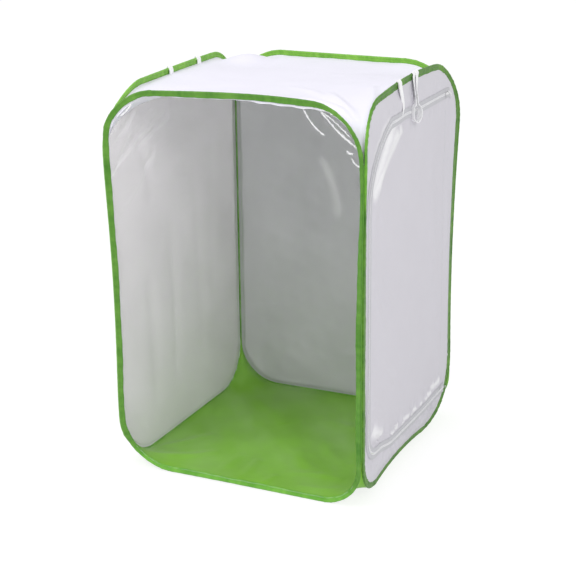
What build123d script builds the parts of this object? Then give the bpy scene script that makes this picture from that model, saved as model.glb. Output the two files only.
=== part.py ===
"""A pop-up plant tent: four sprung wire loops, sewn edge to edge, carry its cloth walls.

Every wall is a closed loop of spring wire inside a folded binding tape, and the tape grips a thin
sheet. The front sheet is clear film, the left and back ones are fine mesh, and the right one holds
a zipped door. A white roof and a green floor are sewn inside the loops, and webbing loops hang
from the top edges. The walls are joined by sewn seams down their upright edges, so that the tent
racks flat like a parallelogram.

Millimetres, +Z up, front wall on -Y, right wall on +X. The origin is on the ground, below the
tent's centre.

A wall is drawn in its own frame and then turned into place: it stands on local XZ, its middle at
X = 0 and its lowest edge at Z = 0, and its outside is -Y.
"""

import os
from math import cos, radians, sin, sqrt

from build123d import *

# ---- the tent
overall_width = 600.0  # over the left and right walls
overall_depth = 600.0  # over the front and back walls
overall_height = 900.0
corner_radius = 110.0  # outer corners of every wire loop

# ---- the sprung loops and their binding
wire_diameter = 2.4
wire_end_gap = 1.0  # between the two ends of a loop's wire, inside its crimp
ferrule_wall = 0.35
ferrule_play = 0.02  # between the crimp and the wire
ferrule_length = 32.0
crimp_depth = 0.12
crimp_width = 3.0
crimp_inset = 8.0  # from the crimp tube's end to the middle of each pressed neck
sleeve_play = 0.1  # between a crimp and the sleeve round it
tape_thickness = 0.6
tape_width = 17.0  # from a loop's outer edge to the end of the tape's lips
sheet_thickness = 0.6  # film, mesh and door cloth
sheet_tuck = 5.0  # from a loop's outer edge to the sheet's own edge, inside the tape

# ---- folding
fold_gap = 0.5  # left between two walls that lie on each other
fit_gap = 0.3  # between soft pieces that are sewn side by side
seam_inset = 17.0  # from the end of a loop's straight edge to the end of its corner seam

# ---- roof and floor
cloth_thickness = 0.8

# ---- zip, in the right wall: how far its middle line runs inside the tent's outline
zip_above_ground = 90.0
zip_below_top = 60.0
zip_behind_front = 40.0
zip_radius_low = 60.0
zip_radius_high = 130.0
zip_gap = 6.0  # from the zip's middle to the cloth on either side
zip_tape_reach = 12.5  # from the zip's middle to the far edge of one tape
zip_tape_thickness = 0.5
coil_inner = 0.65  # from the zip's middle to the coil
coil_width = 2.25
coil_height = 1.8
zip_tail = 42.0  # the zip's length past the door's hinge line
zip_end_gap = 1.2  # between the upper tape's end and the binding round the loop's corner
stop_length = 3.0

# ---- door
door_hinge_gap = 0.8

# ---- zip slider and its pull
slider_length = 11.0
slider_width = 9.6
slider_tail_width = 8.4
slider_corner = 1.5
slider_plate = 1.1
slider_play = 0.3  # round the tape and the coils
wedge_width = 0.7
wedge_length = 4.0
slider_park = 13.0  # from the door's hinge line to the slider's middle
crown_length = 5.0
crown_width = 2.0
crown_wall = 0.75
pull_pin_radius = 0.75
pull_pin_play = 0.08
pull_length = 24.0
pull_width = 6.0
pull_thickness = 1.0
pull_play = 0.3  # between the pull and the slider
pull_hole_radius = 1.4

# ---- hanging loops, of webbing
webbing_width = 16.0
webbing_thickness = 1.2
webbing_seam_angle = 62.0  # from the top of the sleeve to where the webbing leaves the roof seam
webbing_lean = 8.0  # how far a hanging loop stands off the wall, in degrees
loop_drop = 82.0  # from the tent's top to a loop's lowest point
eye_depth = 11.0  # outside sizes of a loop's eye, out from the wall and up it
eye_height = 34.0
right_loop_places = (-78.0, 22.0)  # along the wall, from its middle towards the back
left_loop_places = (-34.0, 104.0)

# ---- worked out from the sizes above
wire_radius = wire_diameter / 2
ferrule_radius = wire_radius + ferrule_wall
cavity_radius = ferrule_radius + sleeve_play
sleeve_radius = cavity_radius + tape_thickness
wall_pitch = 2 * sleeve_radius + fold_gap  # between the middles of two walls folded together
wall_plane_x = overall_width / 2 - sleeve_radius
wall_plane_y = overall_depth / 2 - sleeve_radius
hinge_x = wall_plane_x - wall_pitch / 2
hinge_y = wall_plane_y - wall_pitch / 2
front_loop_width = overall_width - 2 * wall_pitch
side_loop_width = overall_depth - 2 * wall_pitch
half_sheet = sheet_thickness / 2
half_seam_gap = wall_pitch / sqrt(2) - sleeve_radius
seam_radius = half_seam_gap - fit_gap
coil_outer = coil_inner + coil_width
zip_low = zip_above_ground
zip_high = overall_height - zip_below_top
zip_front = overall_depth / 2 - zip_behind_front
slider_face = coil_height / 2 + slider_play + slider_plate  # from the slider's middle
pull_pin_level = slider_face + pull_play + pull_pin_radius
pull_bore_radius = pull_pin_radius + pull_pin_play
zip_plane = -half_sheet - zip_tape_thickness / 2  # local Y of the middle of the zip's tapes
upper_tape_rise = zip_high + zip_tape_reach - (overall_height - corner_radius)
corner_room = sqrt((corner_radius - tape_width) ** 2 - upper_tape_rise**2)
zip_end = side_loop_width / 2 - corner_radius + corner_room - zip_end_gap
door_hinge_back = zip_end - zip_tail  # from the wall's middle to the hinge line
door_edge = door_hinge_back - door_hinge_gap / 2
frame_edge = door_hinge_back + door_hinge_gap / 2

# Where each wall goes, and which way it faces.
FRONT = Pos(0, -wall_plane_y, 0)
RIGHT = Pos(wall_plane_x, 0, 0) * Rot(0, 0, 90)
BACK = Pos(0, wall_plane_y, 0) * Rot(0, 0, 180)
LEFT = Pos(-wall_plane_x, 0, 0) * Rot(0, 0, -90)


def slab(face, low, high):
    """A flat face, stood up on local XZ, as a plate from Y = low to Y = high."""
    return Pos(0, high, 0) * extrude(Plane.XZ * face, amount=high - low)


def rectangle_between(left, right, low, high):
    return Pos((left + right) / 2, (low + high) / 2) * Rectangle(right - left, high - low)


# ---------------------------------------------------------------- wire loops and bindings


def loop_outline(width, inset):
    """A loop's rounded outline, that far inside its outer edge."""
    outline = RectangleRounded(
        width - 2 * inset, overall_height - 2 * inset, corner_radius - inset
    )
    return Pos(0, overall_height / 2) * outline


def wire_loop(width):
    """The spring wire, from one cut end to the other. The ends meet at the bottom."""
    side = width / 2 - sleeve_radius
    low = sleeve_radius
    high = overall_height - sleeve_radius
    end = wire_end_gap / 2
    points = [(end, 0, low), (side, 0, low), (side, 0, high)]
    points += [(-side, 0, high), (-side, 0, low), (-end, 0, low)]
    path = FilletPolyline(*points, radius=corner_radius - sleeve_radius)
    return sweep(Plane(path @ 0, z_dir=path % 0) * Circle(wire_radius), path=path)


def wire_ferrule():
    """The crimp tube that joins a loop's ends: a turned tube with a pressed neck over each end."""
    half = ferrule_length / 2
    bore = wire_radius + ferrule_play
    pressed = ferrule_radius - crimp_depth
    neck = half - crimp_inset
    points = [(-half, bore), (-half, ferrule_radius)]
    for middle in (-neck, neck):
        points += [(middle - crimp_width / 2, ferrule_radius), (middle - crimp_width / 4, pressed)]
        points += [(middle + crimp_width / 4, pressed), (middle + crimp_width / 2, ferrule_radius)]
    points += [(half, ferrule_radius), (half, bore)]
    tube = revolve(make_face(Polyline(*points, close=True)), axis=Axis.X)
    return Pos(0, 0, sleeve_radius) * tube


def binding_section():
    """The folded tape cut across: a sleeve round the wire, and two lips that grip the sheet."""
    lip_top = -sleeve_radius
    lips = rectangle_between(
        -half_sheet - tape_thickness, half_sheet + tape_thickness, -tape_width, lip_top
    )
    slot = rectangle_between(-half_sheet, half_sheet, -tape_width, lip_top)
    middle = Pos(0, -sleeve_radius)
    return lips + middle * Circle(sleeve_radius) - slot - middle * Circle(cavity_radius)


def edge_binding(width):
    """The binding tape, swept once round the loop's outer edge."""
    path = (Plane.XZ * loop_outline(width, 0)).face().outer_wire()
    start = Plane(path @ 0, x_dir=(0, 1, 0), z_dir=path % 0)
    outward = path @ 0 - Vector(0, 0, overall_height / 2)
    section = binding_section()
    if start.y_dir.dot(outward) < 0:
        section = Rot(0, 0, 180) * section
    return sweep(start * section, path=path)


def wall_sheet(width):
    return slab(loop_outline(width, sheet_tuck), -half_sheet, half_sheet)


def corner_seam(side_x, side_y):
    """The rolled seam that joins two walls down their straight upright edges, and is their hinge."""
    length = overall_height - 2 * corner_radius - 2 * seam_inset
    return Pos(side_x * hinge_x, side_y * hinge_y, overall_height / 2) * Cylinder(
        seam_radius, length
    )


# ---------------------------------------------------------------- roof and floor


def vault(half_x, half_y, shoulder, reach, base):
    """A flat-topped block whose four upright corners are rounded over, down to Z = base.

    The top is at Z = reach. Each rounding is an elliptical cylinder whose straight lines run across
    the corner, so that where it meets a wall its outline is a round corner of that same radius.
    """
    block = Pos(0, 0, (reach + base) / 2) * Box(2 * half_x, 2 * half_y, reach - base)
    for turn in (1, -1):
        stand = Plane((0, 0, 0), x_dir=(1, turn, 0), z_dir=(turn, -1, 0))
        profile = rectangle_between(-shoulder, shoulder, base, reach)
        for side in (-1, 1):
            profile += Pos(side * shoulder, 0) * Ellipse(reach / sqrt(2), reach)
        block &= extrude(stand * profile, amount=overall_width + overall_depth, both=True)
    return block


def corner_cloth(half_x, half_y, reach):
    """A flat cloth whose corners turn down between the rounded corners of the four loops."""
    shoulder = (front_loop_width / 2 - corner_radius + half_y) / sqrt(2)
    filled = vault(half_x, half_y, shoulder, reach, 0)
    hollow = vault(
        half_x + cloth_thickness,
        half_y + cloth_thickness,
        shoulder,
        reach - cloth_thickness,
        -cloth_thickness,
    )
    return filled - hollow


def roof_panel():
    edge = sleeve_radius + fit_gap
    reach = corner_radius - sleeve_radius + cloth_thickness / 2
    cloth = corner_cloth(wall_plane_x - edge, wall_plane_y - edge, reach)
    return Pos(0, 0, overall_height - corner_radius) * cloth


def floor_panel():
    """The floor lies on the ground, so the sleeves beside it curve away from its edge."""
    flank = sqrt(sleeve_radius**2 - (sleeve_radius - cloth_thickness) ** 2)
    edge = flank + fit_gap
    cloth = corner_cloth(wall_plane_x - edge, wall_plane_y - edge, corner_radius)
    return Pos(0, 0, corner_radius) * Rot(180, 0, 0) * cloth


# ---------------------------------------------------------------- door and zip


def zip_region(offset, back):
    """What the zip's middle line encloses, grown by that offset, as far back as X = back."""
    region = rectangle_between(
        -zip_front - offset, back, zip_low - offset, zip_high + offset
    )
    upper = region.vertices().sort_by(Axis.Y)[-2:].sort_by(Axis.X)[0]
    region = fillet(upper, zip_radius_high + offset)
    lower = region.vertices().sort_by(Axis.Y)[:2].sort_by(Axis.X)[0]
    return fillet(lower, zip_radius_low + offset)


def zip_band(near, far, back):
    """A strip that follows the zip, between two distances from its middle line."""
    return zip_region(max(near, far), back) - zip_region(min(near, far), back)


def past_hinge():
    return rectangle_between(frame_edge, zip_end, 0, overall_height)


def door_surround():
    """The wall's own cloth, open for the door and slit on for the two ends of the zip."""
    doorway = zip_region(zip_gap, frame_edge)
    slits = zip_band(zip_gap, -zip_gap, zip_end) & past_hinge()
    cloth = loop_outline(side_loop_width, sheet_tuck) - doorway - slits
    return slab(cloth, -half_sheet, half_sheet)


def door_panel():
    return slab(zip_region(-zip_gap, door_edge), -half_sheet, half_sheet)


def tape_slab(face):
    return slab(face, zip_plane - zip_tape_thickness / 2, zip_plane + zip_tape_thickness / 2)


def coil_slab(face):
    return slab(face, zip_plane - coil_height / 2, zip_plane + coil_height / 2)


def end_stops():
    """A folded metal clip over the two coils at each end of the chain."""
    clips = []
    for level in (zip_low, zip_high):
        clip = Box(stop_length, coil_height, 2 * coil_outer)
        clips.append(Pos(zip_end - stop_length / 2, zip_plane, level) * clip)
    return Compound(children=clips)


def zip_slider():
    """Two plates on one wedge. Their edges turn in to form a channel that holds both coils."""
    half = slider_length / 2
    inner_face = slider_face - slider_plate
    outline = Polyline(
        (-half, -slider_tail_width / 2),
        (half, -slider_width / 2),
        (half, slider_width / 2),
        (-half, slider_tail_width / 2),
        close=True,
    )
    plan = fillet(make_face(outline).vertices(), slider_corner)
    body = slab(plan, -slider_face, slider_face)
    body -= Box(2 * slider_length, 2 * inner_face, 2 * (coil_outer + slider_play))
    body -= Box(2 * slider_length, zip_tape_thickness + 2 * slider_play, 2 * slider_width)
    point = half - wedge_length
    wedge = Polyline(
        (half, -wedge_width / 2),
        (point + wedge_width, -wedge_width / 2),
        (point, 0),
        (point + wedge_width, wedge_width / 2),
        (half, wedge_width / 2),
        close=True,
    )
    body += slab(make_face(wedge), -inner_face, inner_face)
    return body + crown()


def crown():
    """The arch on the slider's outer plate that holds the pull's pin."""
    foot = slider_face - slider_plate / 2
    top = pull_pin_level + pull_bore_radius + crown_wall
    arch = Pos(0, -(foot + top) / 2, 0) * Box(crown_length, top - foot, crown_width)
    outer_edges = arch.edges().filter_by(Axis.Z).sort_by(Axis.Y)[:2]
    arch = fillet(outer_edges, crown_wall)
    return arch - Pos(0, -pull_pin_level, 0) * Cylinder(pull_bore_radius, 2 * crown_width)


def zip_pull():
    """The pull, lying towards -X from its pin: a plate, forked round the crown."""
    slot = crown_width + 2 * pull_play
    swing = sqrt((crown_length / 2) ** 2 + (pull_bore_radius + crown_wall) ** 2)
    plate = rectangle_between(-pull_length, 0, -pull_width / 2, pull_width / 2)
    plate = fillet(plate.vertices().sort_by(Axis.X)[:2], pull_width / 3)
    plate -= rectangle_between(-swing - pull_play, pull_length, -slot / 2, slot / 2)
    plate -= Pos(-pull_length + pull_width / 2, 0) * Circle(pull_hole_radius)
    pin = Cylinder(pull_pin_radius, pull_width)
    return slab(plate, -pull_thickness / 2, pull_thickness / 2) + pin


# ---------------------------------------------------------------- hanging loops


def hanging_loop():
    """A webbing loop: from the roof seam, over the sleeve, and down to an open eye."""
    inner = sleeve_radius + fit_gap
    outer = inner + webbing_thickness
    eye_level = sleeve_radius + eye_height / 2 - loop_drop
    seam = radians(webbing_seam_angle)
    over = Circle(outer) - Circle(inner)
    sector = Polyline(
        (0, 0),
        (-2 * outer * sin(seam), 2 * outer * cos(seam)),
        (-3 * outer, 2 * outer),
        (-3 * outer, 0),
        close=True,
    )
    over &= make_face(sector)
    strap = rectangle_between(-outer, -inner, eye_level, 0)
    eye = Pos(-inner - eye_depth / 2, eye_level) * Ellipse(eye_depth / 2, eye_height / 2)
    hole = Pos(-inner - eye_depth / 2, eye_level) * Ellipse(
        eye_depth / 2 - webbing_thickness, eye_height / 2 - webbing_thickness
    )
    profile = Rot(0, 0, -webbing_lean) * (over + strap + eye - hole)
    return extrude(Plane.YZ * profile, amount=webbing_width / 2, both=True)


def hang(wall, place):
    return wall * Pos(place, 0, overall_height - sleeve_radius) * hanging_loop()


# ---------------------------------------------------------------- every piece, in its place

parts = {}
for name, wall, width in (
    ("front", FRONT, front_loop_width),
    ("right", RIGHT, side_loop_width),
    ("back", BACK, front_loop_width),
    ("left", LEFT, side_loop_width),
):
    parts[name + "_wire_loop"] = wall * wire_loop(width)
    parts[name + "_wire_crimp"] = wall * wire_ferrule()
    parts[name + "_edge_binding"] = wall * edge_binding(width)

parts["front_clear_window"] = FRONT * wall_sheet(front_loop_width)
parts["back_mesh_panel"] = BACK * wall_sheet(front_loop_width)
parts["left_mesh_panel"] = LEFT * wall_sheet(side_loop_width)
parts["roof_panel"] = roof_panel()
parts["floor_panel"] = floor_panel()
parts["front_right_corner_seam"] = corner_seam(1, -1)
parts["front_left_corner_seam"] = corner_seam(-1, -1)
parts["back_right_corner_seam"] = corner_seam(1, 1)
parts["back_left_corner_seam"] = corner_seam(-1, 1)

parts["door_surround"] = RIGHT * door_surround()
parts["door_panel"] = RIGHT * door_panel()
chain_end = zip_end - stop_length
parts["surround_zip_tape"] = RIGHT * tape_slab(zip_band(coil_outer, zip_tape_reach, zip_end))
parts["surround_zip_coil"] = RIGHT * coil_slab(zip_band(coil_inner, coil_outer, chain_end))
parts["door_zip_tape"] = RIGHT * tape_slab(zip_band(-coil_outer, -zip_tape_reach, door_edge))
parts["door_zip_coil"] = RIGHT * coil_slab(zip_band(-coil_inner, -coil_outer, door_edge))
parts["zip_tape_ends"] = RIGHT * tape_slab(
    zip_band(-coil_outer, -zip_tape_reach, zip_end) & past_hinge()
)
parts["zip_coil_ends"] = RIGHT * coil_slab(
    zip_band(-coil_inner, -coil_outer, chain_end) & past_hinge()
)
parts["zip_end_stops"] = RIGHT * end_stops()
slider_place = RIGHT * Pos(door_hinge_back + slider_park, zip_plane, zip_high)
parts["zip_slider"] = slider_place * zip_slider()
parts["zip_pull"] = slider_place * Pos(0, -pull_pin_level, 0) * zip_pull()

parts["right_front_hanging_loop"] = hang(RIGHT, right_loop_places[0])
parts["right_rear_hanging_loop"] = hang(RIGHT, right_loop_places[1])
parts["left_front_hanging_loop"] = hang(LEFT, -left_loop_places[0])
parts["left_rear_hanging_loop"] = hang(LEFT, -left_loop_places[1])

os.makedirs("parts", exist_ok=True)
for name, solid in parts.items():
    export_step(solid, f"parts/{name}.step")
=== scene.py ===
# %% [markdown]
# # A pop-up plant tent
# Four loops of spring wire, each sewn into a green folded tape, stand as the four walls of a small
# greenhouse. Thin cloth fills them: a clear window in front, fine mesh at the back and the left, and
# white cloth with a zipped door at the right. A white roof and a green floor are sewn between the
# loops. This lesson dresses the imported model: the model says where everything is and how it moves,
# and each cell here makes one piece or one finish of the real thing.

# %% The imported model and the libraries
from math import cos, pi, radians, sin

import bpy
import numpy as np
from mathutils import Matrix, Vector


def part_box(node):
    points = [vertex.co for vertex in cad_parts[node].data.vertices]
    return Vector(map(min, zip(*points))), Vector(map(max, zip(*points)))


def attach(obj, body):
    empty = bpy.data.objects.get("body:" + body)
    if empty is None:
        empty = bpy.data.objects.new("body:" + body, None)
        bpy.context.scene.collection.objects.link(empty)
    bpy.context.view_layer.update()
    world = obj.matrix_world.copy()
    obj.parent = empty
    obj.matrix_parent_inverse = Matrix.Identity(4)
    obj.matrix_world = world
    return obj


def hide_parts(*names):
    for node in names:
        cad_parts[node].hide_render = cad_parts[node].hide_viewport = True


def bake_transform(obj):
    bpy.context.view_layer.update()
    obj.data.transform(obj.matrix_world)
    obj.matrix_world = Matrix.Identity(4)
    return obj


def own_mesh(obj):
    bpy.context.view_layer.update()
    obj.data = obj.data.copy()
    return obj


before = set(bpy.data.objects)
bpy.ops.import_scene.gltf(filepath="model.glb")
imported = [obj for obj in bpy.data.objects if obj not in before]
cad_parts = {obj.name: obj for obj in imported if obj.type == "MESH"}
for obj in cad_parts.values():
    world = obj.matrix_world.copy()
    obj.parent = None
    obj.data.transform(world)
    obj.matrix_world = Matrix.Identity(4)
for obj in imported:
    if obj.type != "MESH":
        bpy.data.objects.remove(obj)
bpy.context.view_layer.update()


def add_object(name, data):
    """Puts a mesh, a lamp or a camera in the scene."""
    made = bpy.data.objects.new(name, data)
    bpy.context.scene.collection.objects.link(made)
    return made


# %% [markdown]
# ## Where the camera stands
# The tent is seen from a little above and from its front right, with a long lens that keeps its
# upright edges nearly parallel. The camera is placed by its position and three angles, which are
# easier to think about than a rotation matrix.

# %% The camera
CAMERA_PLACE = Vector((1.497, -3.214, 1.569))
CAMERA_TURN, CAMERA_TILT, CAMERA_ROLL = -0.4396, 0.3216, -0.0119

ahead = Vector((
    sin(CAMERA_TURN) * cos(CAMERA_TILT),
    cos(CAMERA_TURN) * cos(CAMERA_TILT),
    -sin(CAMERA_TILT),
))
level_right = Vector((cos(CAMERA_TURN), -sin(CAMERA_TURN), 0))
level_up = level_right.cross(ahead)
right = cos(CAMERA_ROLL) * level_right + sin(CAMERA_ROLL) * level_up
upward = cos(CAMERA_ROLL) * level_up - sin(CAMERA_ROLL) * level_right

lens = bpy.data.cameras.new("camera")
lens.lens = 98.0
lens.sensor_width = 36
camera = add_object("camera", lens)
camera.matrix_world = Matrix((
    (right.x, upward.x, -ahead.x, CAMERA_PLACE.x),
    (right.y, upward.y, -ahead.y, CAMERA_PLACE.y),
    (right.z, upward.z, -ahead.z, CAMERA_PLACE.z),
    (0, 0, 0, 1),
))
bpy.context.scene.camera = camera
print("camera", round((CAMERA_PLACE - Vector((0, 0, 0.45))).length, 2), "m from the tent's middle")

# %% [markdown]
# ## The four walls
# A spring loop that is sewn to its neighbours is never a true rounded rectangle. Its long edges bow
# out, and its top and bottom edges arch. Every piece on a wall has to follow the same bow, or the
# cloth would part from its tape. So one function turns flat places on a wall, metres along it and
# metres up it, into places in the room, and every wall piece is made with it.

# %% The walls' sizes
low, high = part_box("front_edge_binding")
HALF = high.x  # half of a loop's outer width
HEIGHT = high.z
PLANE = -(low.y + high.y) / 2  # from the tent's middle to a wall's middle plane

LEANS = {  # how far each upright corner leans out of true, low down, halfway up and high up
    "front_left": ((-0.022, -0.001), (-0.018, -0.0035), (-0.022, -0.015)),
    "front_right": ((0.004, -0.005), (0.003, -0.003), (0.006, -0.001)),
    "back_right": ((-0.004, -0.001), (-0.0045, -0.001), (0.005, 0.0005)),
    "back_left": ((0.0, 0.0), (0.0, 0.0), (0.0, 0.0)),
}
# Corners: the radius low on the + side, high on it, high on the - side and low on it. Tape: its width
# from the middle of the foot round, at every side and corner. Rise, skew and tip: how far the middle of
# the foot and of the top stands up, slopes up and leans out. Pinch: at which angle the tape is narrower,
# and by what share of its width.
WALLS = {
    "front": dict(along=(1, 0), out=(0, -1), ends=("front_left", "front_right"),
                  corners=(0.090, 0.111, 0.094, 0.114), rise=(0.0015, 0.014), skew=(-0.002, 0.0075),
                  tip=(0, 0),
                  tape=(0.0140, 0.0118, 0.0112, 0.0080, 0.0128, 0.0134, 0.0118, 0.0135), pinch=(0, 0.46)),
    "right": dict(along=(0, 1), out=(1, 0), ends=("front_right", "back_right"),
                  corners=(0.189, 0.141, 0.098, 0.114), rise=(0.0255, 0.022), skew=(-0.004, 0.0055),
                  tip=(-0.012, -0.008),
                  tape=(0.0130, 0.0130, 0.0210, 0.0130, 0.0135, 0.0115, 0.0165, 0.0140), pinch=(pi, 0.35)),
    "back": dict(along=(-1, 0), out=(0, 1), ends=("back_right", "back_left"),
                 corners=(0.110, 0.136, 0.133, 0.110), rise=(0, -0.001), skew=(0, 0), tip=(0, 0),
                 tape=(0.0140, 0.0140, 0.0140, 0.0150, 0.0150, 0.0140, 0.0140, 0.0140), pinch=(0, 0)),
    "left": dict(along=(0, -1), out=(-1, 0), ends=("back_left", "front_left"),
                 corners=(0.110, 0.132, 0.110, 0.110), rise=(0, 0.0035), skew=(0, -0.0025), tip=(0, 0),
                 tape=(0.0140, 0.0140, 0.0140, 0.0150, 0.0165, 0.0155, 0.0140, 0.0140), pinch=(0, 0)),
}
print("a loop is", round(2 * HALF, 3), "m wide and", round(HEIGHT, 3), "m high")

# %% [markdown]
# ### From a flat pattern to the room
# Cloth is cut flat, so it is easiest to draw flat. A lattice or a cloth simulation could bend it
# afterwards, but a plain formula gives the same place each time, and every piece can ask it.

# %% A flat place's place in the room
LEAN_HEIGHT = 0.6  # the low and high leans' distance from halfway, as a share of half the height


def lean_at(corner, height):
    """A corner's lean at a height from -1, the foot, to 1, the top: a curve through its three values."""
    low_down, halfway, high_up = (np.array(value) for value in LEANS[corner])
    height = np.asarray(height, float)[..., None]
    slope = (high_up - low_down) / (2 * LEAN_HEIGHT)
    curve = ((high_up + low_down) / 2 - halfway) / LEAN_HEIGHT**2
    return (halfway + slope * height + curve * height**2) * (1 - height**6)


def on_wall(name, along, up, out=0.0):
    """Room places for flat places on a wall: metres along it, up it, and outside its middle plane."""
    wall = WALLS[name]
    along, up, out = (np.array(v, float) for v in np.broadcast_arrays(along, up, out))
    across = np.clip(along / HALF, -1, 1)
    height = np.clip(2 * up / HEIGHT - 1, -1, 1)
    start, end = (lean_at(corner, height) for corner in wall["ends"])
    lean = np.where(across[..., None] > 0, end, start) * (abs(across) ** 3)[..., None]
    arch = (1 - across**2) * abs(height) ** 3
    rise, skew, tip = (np.where(height > 0, wall[key][1], wall[key][0]) * arch
                       for key in ("rise", "skew", "tip"))
    flat = np.multiply.outer(along, wall["along"]) + np.multiply.outer(PLANE + out + tip, wall["out"]) + lean
    return np.concatenate([flat, (up + rise + skew * across)[..., None]], -1)


print("the middle of the front wall's top is at", on_wall("front", 0, HEIGHT).round(3))

# %% [markdown]
# ### A loop's outline
# The wire, its tape and its stitches all follow the loop's rounded rectangle, each at its own depth
# inside it. A curve object could carry them, but numbers are easier to offset and to bow. So the line
# is a set of even steps, each with its inward direction and with how wide the tape is there.

# %% A loop's outline
ARC_POINTS = 46
CORNER_SPREAD = 0.05  # how far along the tape a corner's gathers spread
PINCH_HEIGHT, PINCH_REACH, PINCH_TURN = 0.69, 0.13, 0.8  # where the tape is pinched, and how far up and round


def even_steps(line, step, closed):
    """A line's points at even steps along it, and how far along each one is. Extra columns go with them."""
    lengths = np.linalg.norm(np.diff(line[:, :2], axis=0), axis=1)
    run = np.concatenate([[0], np.cumsum(lengths)])
    count = max(int(round(run[-1] / step)), 2)
    places = np.arange(count if closed else count + 1) * run[-1] / count
    return np.stack([np.interp(places, run, column) for column in line.T], 1), places


def tape_width(name, points, run):
    """How wide a loop's tape is at points (along, up, angle): it changes slowly, with a pinch."""
    marks = (np.arange(9) - 2) * pi / 4
    width = np.interp(points[:, 2], marks, WALLS[name]["tape"] + WALLS[name]["tape"][:1])
    side, share = WALLS[name]["pinch"]
    pinched = np.exp(-(((points[:, 2] - side) / PINCH_TURN) ** 2)
                     - ((points[:, 1] - PINCH_HEIGHT) / PINCH_REACH) ** 2)
    return width * (1 - share * pinched) + 0.0006 * np.sin(run * 31) + 0.0003 * np.sin(run * 137 + 1)


def loop_line(name, step, inset=0.0):
    """A loop's rounded outline inside its edge: flat places, inward directions, run and corners."""
    line = [(0, inset, -pi / 2, 0)]
    for number, (side, upper) in enumerate([(1, 0), (1, 1), (-1, 1), (-1, 0)]):
        radius = WALLS[name]["corners"][number] - inset
        middle = side * (HALF - inset - radius), (HEIGHT - inset - radius if upper else inset + radius)
        for angle in (number - 1 + np.linspace(0, 1, ARC_POINTS)) * pi / 2:
            line.append((middle[0] + radius * cos(angle), middle[1] + radius * sin(angle), angle, 1))
    line.append((0, inset, 3 * pi / 2, 0))
    points, run = even_steps(np.array(line), step, closed=True)
    on_arc = abs(points[:, 2] * 2 / pi - np.round(points[:, 2] * 2 / pi)) > 1e-6
    reach = int(CORNER_SPREAD / step)
    soft = np.convolve(np.concatenate([on_arc[-reach:], on_arc, on_arc[:reach]]).astype(float),
                       np.hanning(2 * reach + 1) / reach, "valid")
    return dict(along=points[:, 0], up=points[:, 1], run=run, corner=soft,
                width=tape_width(name, points, run),
                inward=-np.stack([np.cos(points[:, 2]), np.sin(points[:, 2])], 1))


print("the front loop's outline is", round(loop_line("front", 0.004)["run"][-1], 2), "m long")

# %% [markdown]
# ## Making meshes from grids
# Nearly every piece of a sewn tent is a strip or a sheet: a grid of points with rows and columns.
# These helpers turn such a grid into a mesh with a flat pattern map in metres, so that a weave keeps
# its real size.

# %% From a grid to a mesh
def quads(rows, columns, round_rows=False, round_columns=False):
    """The corners (row, column) of each face of a grid. A closed direction joins its end to its start."""
    row, column = np.meshgrid(
        np.arange(rows - (not round_rows)), np.arange(columns - (not round_columns)), indexing="ij"
    )
    row, column = row.ravel(), column.ravel()
    return np.stack([row, row, row + 1, row + 1], 1), np.stack([column, column + 1, column + 1, column], 1)


def mesh_piece(name, points, faces, flat, material, **values):
    """A finished object: points, faces as corner numbers, each corner's place on the flat pattern."""
    mesh = bpy.data.meshes.new(name)
    mesh.from_pydata(points.tolist(), [], faces)
    layer = mesh.uv_layers.new(name="flat")
    layer.data.foreach_set("uv", flat.reshape(-1).astype(np.float32))
    for title, data in values.items():
        kind, field = ("FLOAT_VECTOR", "vector") if data.ndim == 2 else ("FLOAT", "value")
        attribute = mesh.attributes.new(title, kind, "POINT")
        attribute.data.foreach_set(field, data.reshape(-1).astype(np.float32))
    mesh.shade_smooth()
    mesh.set_sharp_from_angle(angle=radians(50))
    mesh.materials.append(material)
    return add_object(name, mesh)


print("a grid of 3 by 4 points has", len(quads(3, 4)[0]), "faces")

# %% [markdown]
# ### A sheet with two sides
# Cloth has a thickness that shows at its edges. A Solidify modifier could give it, but a shell made
# point by point keeps its flat pattern on both sides, and it is closed.

# %% A sheet as a closed shell
def grid_normals(points, round_rows=False):
    down = np.roll(points, -1, 0) - np.roll(points, 1, 0) if round_rows else np.gradient(points, axis=0)
    normals = np.cross(np.gradient(points, axis=1), down)
    return normals / np.maximum(np.linalg.norm(normals, axis=-1, keepdims=True), 1e-12)


def shell(name, points, flat, thickness, material, round_rows=False, **values):
    """A sheet as a closed shell. points and flat are grids; flat has one row more if rows are closed."""
    rows, columns = points.shape[:2]
    half = grid_normals(points, round_rows) * thickness / 2
    every = np.concatenate([(points + half).reshape(-1, 3), (points - half).reshape(-1, 3)])
    row, column = quads(rows, columns, round_rows)
    top = (row % rows) * columns + column
    under = rows * columns
    faces = [top, top[:, ::-1] + under]
    maps = [flat[row, column], flat[row, column][:, ::-1]]

    def rim(rim_rows, rim_columns, turned):
        numbers = (rim_rows % rows) * columns + rim_columns
        places = flat[rim_rows, rim_columns]
        band = np.stack([numbers[:-1], numbers[1:], numbers[1:] + under, numbers[:-1] + under], 1)
        cloth = np.stack([places[:-1], places[1:], places[1:], places[:-1]], 1)
        faces.append(band[:, ::-1] if turned else band)
        maps.append(cloth[:, ::-1] if turned else cloth)

    down, across = np.arange(rows + round_rows), np.arange(columns)
    rim(down, np.zeros_like(down), False)
    rim(down, np.full_like(down, columns - 1), True)
    if not round_rows:
        rim(np.zeros_like(across), across, True)
        rim(np.full_like(across, rows - 1), across, False)
    values = {title: np.concatenate([data.ravel(), data.ravel()]) for title, data in values.items()}
    return mesh_piece(name, every, np.concatenate(faces).tolist(), np.concatenate(maps), material, **values)


print("sheet helpers ready")

# %% [markdown]
# ### A strip with a closed section
# Wires, folded tapes and welts are tubes: one ring of points for each step along a line. A curve with
# a bevel makes round ones, but a tape's section isn't round and its width changes along the line, so
# the rings are given outright.

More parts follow.
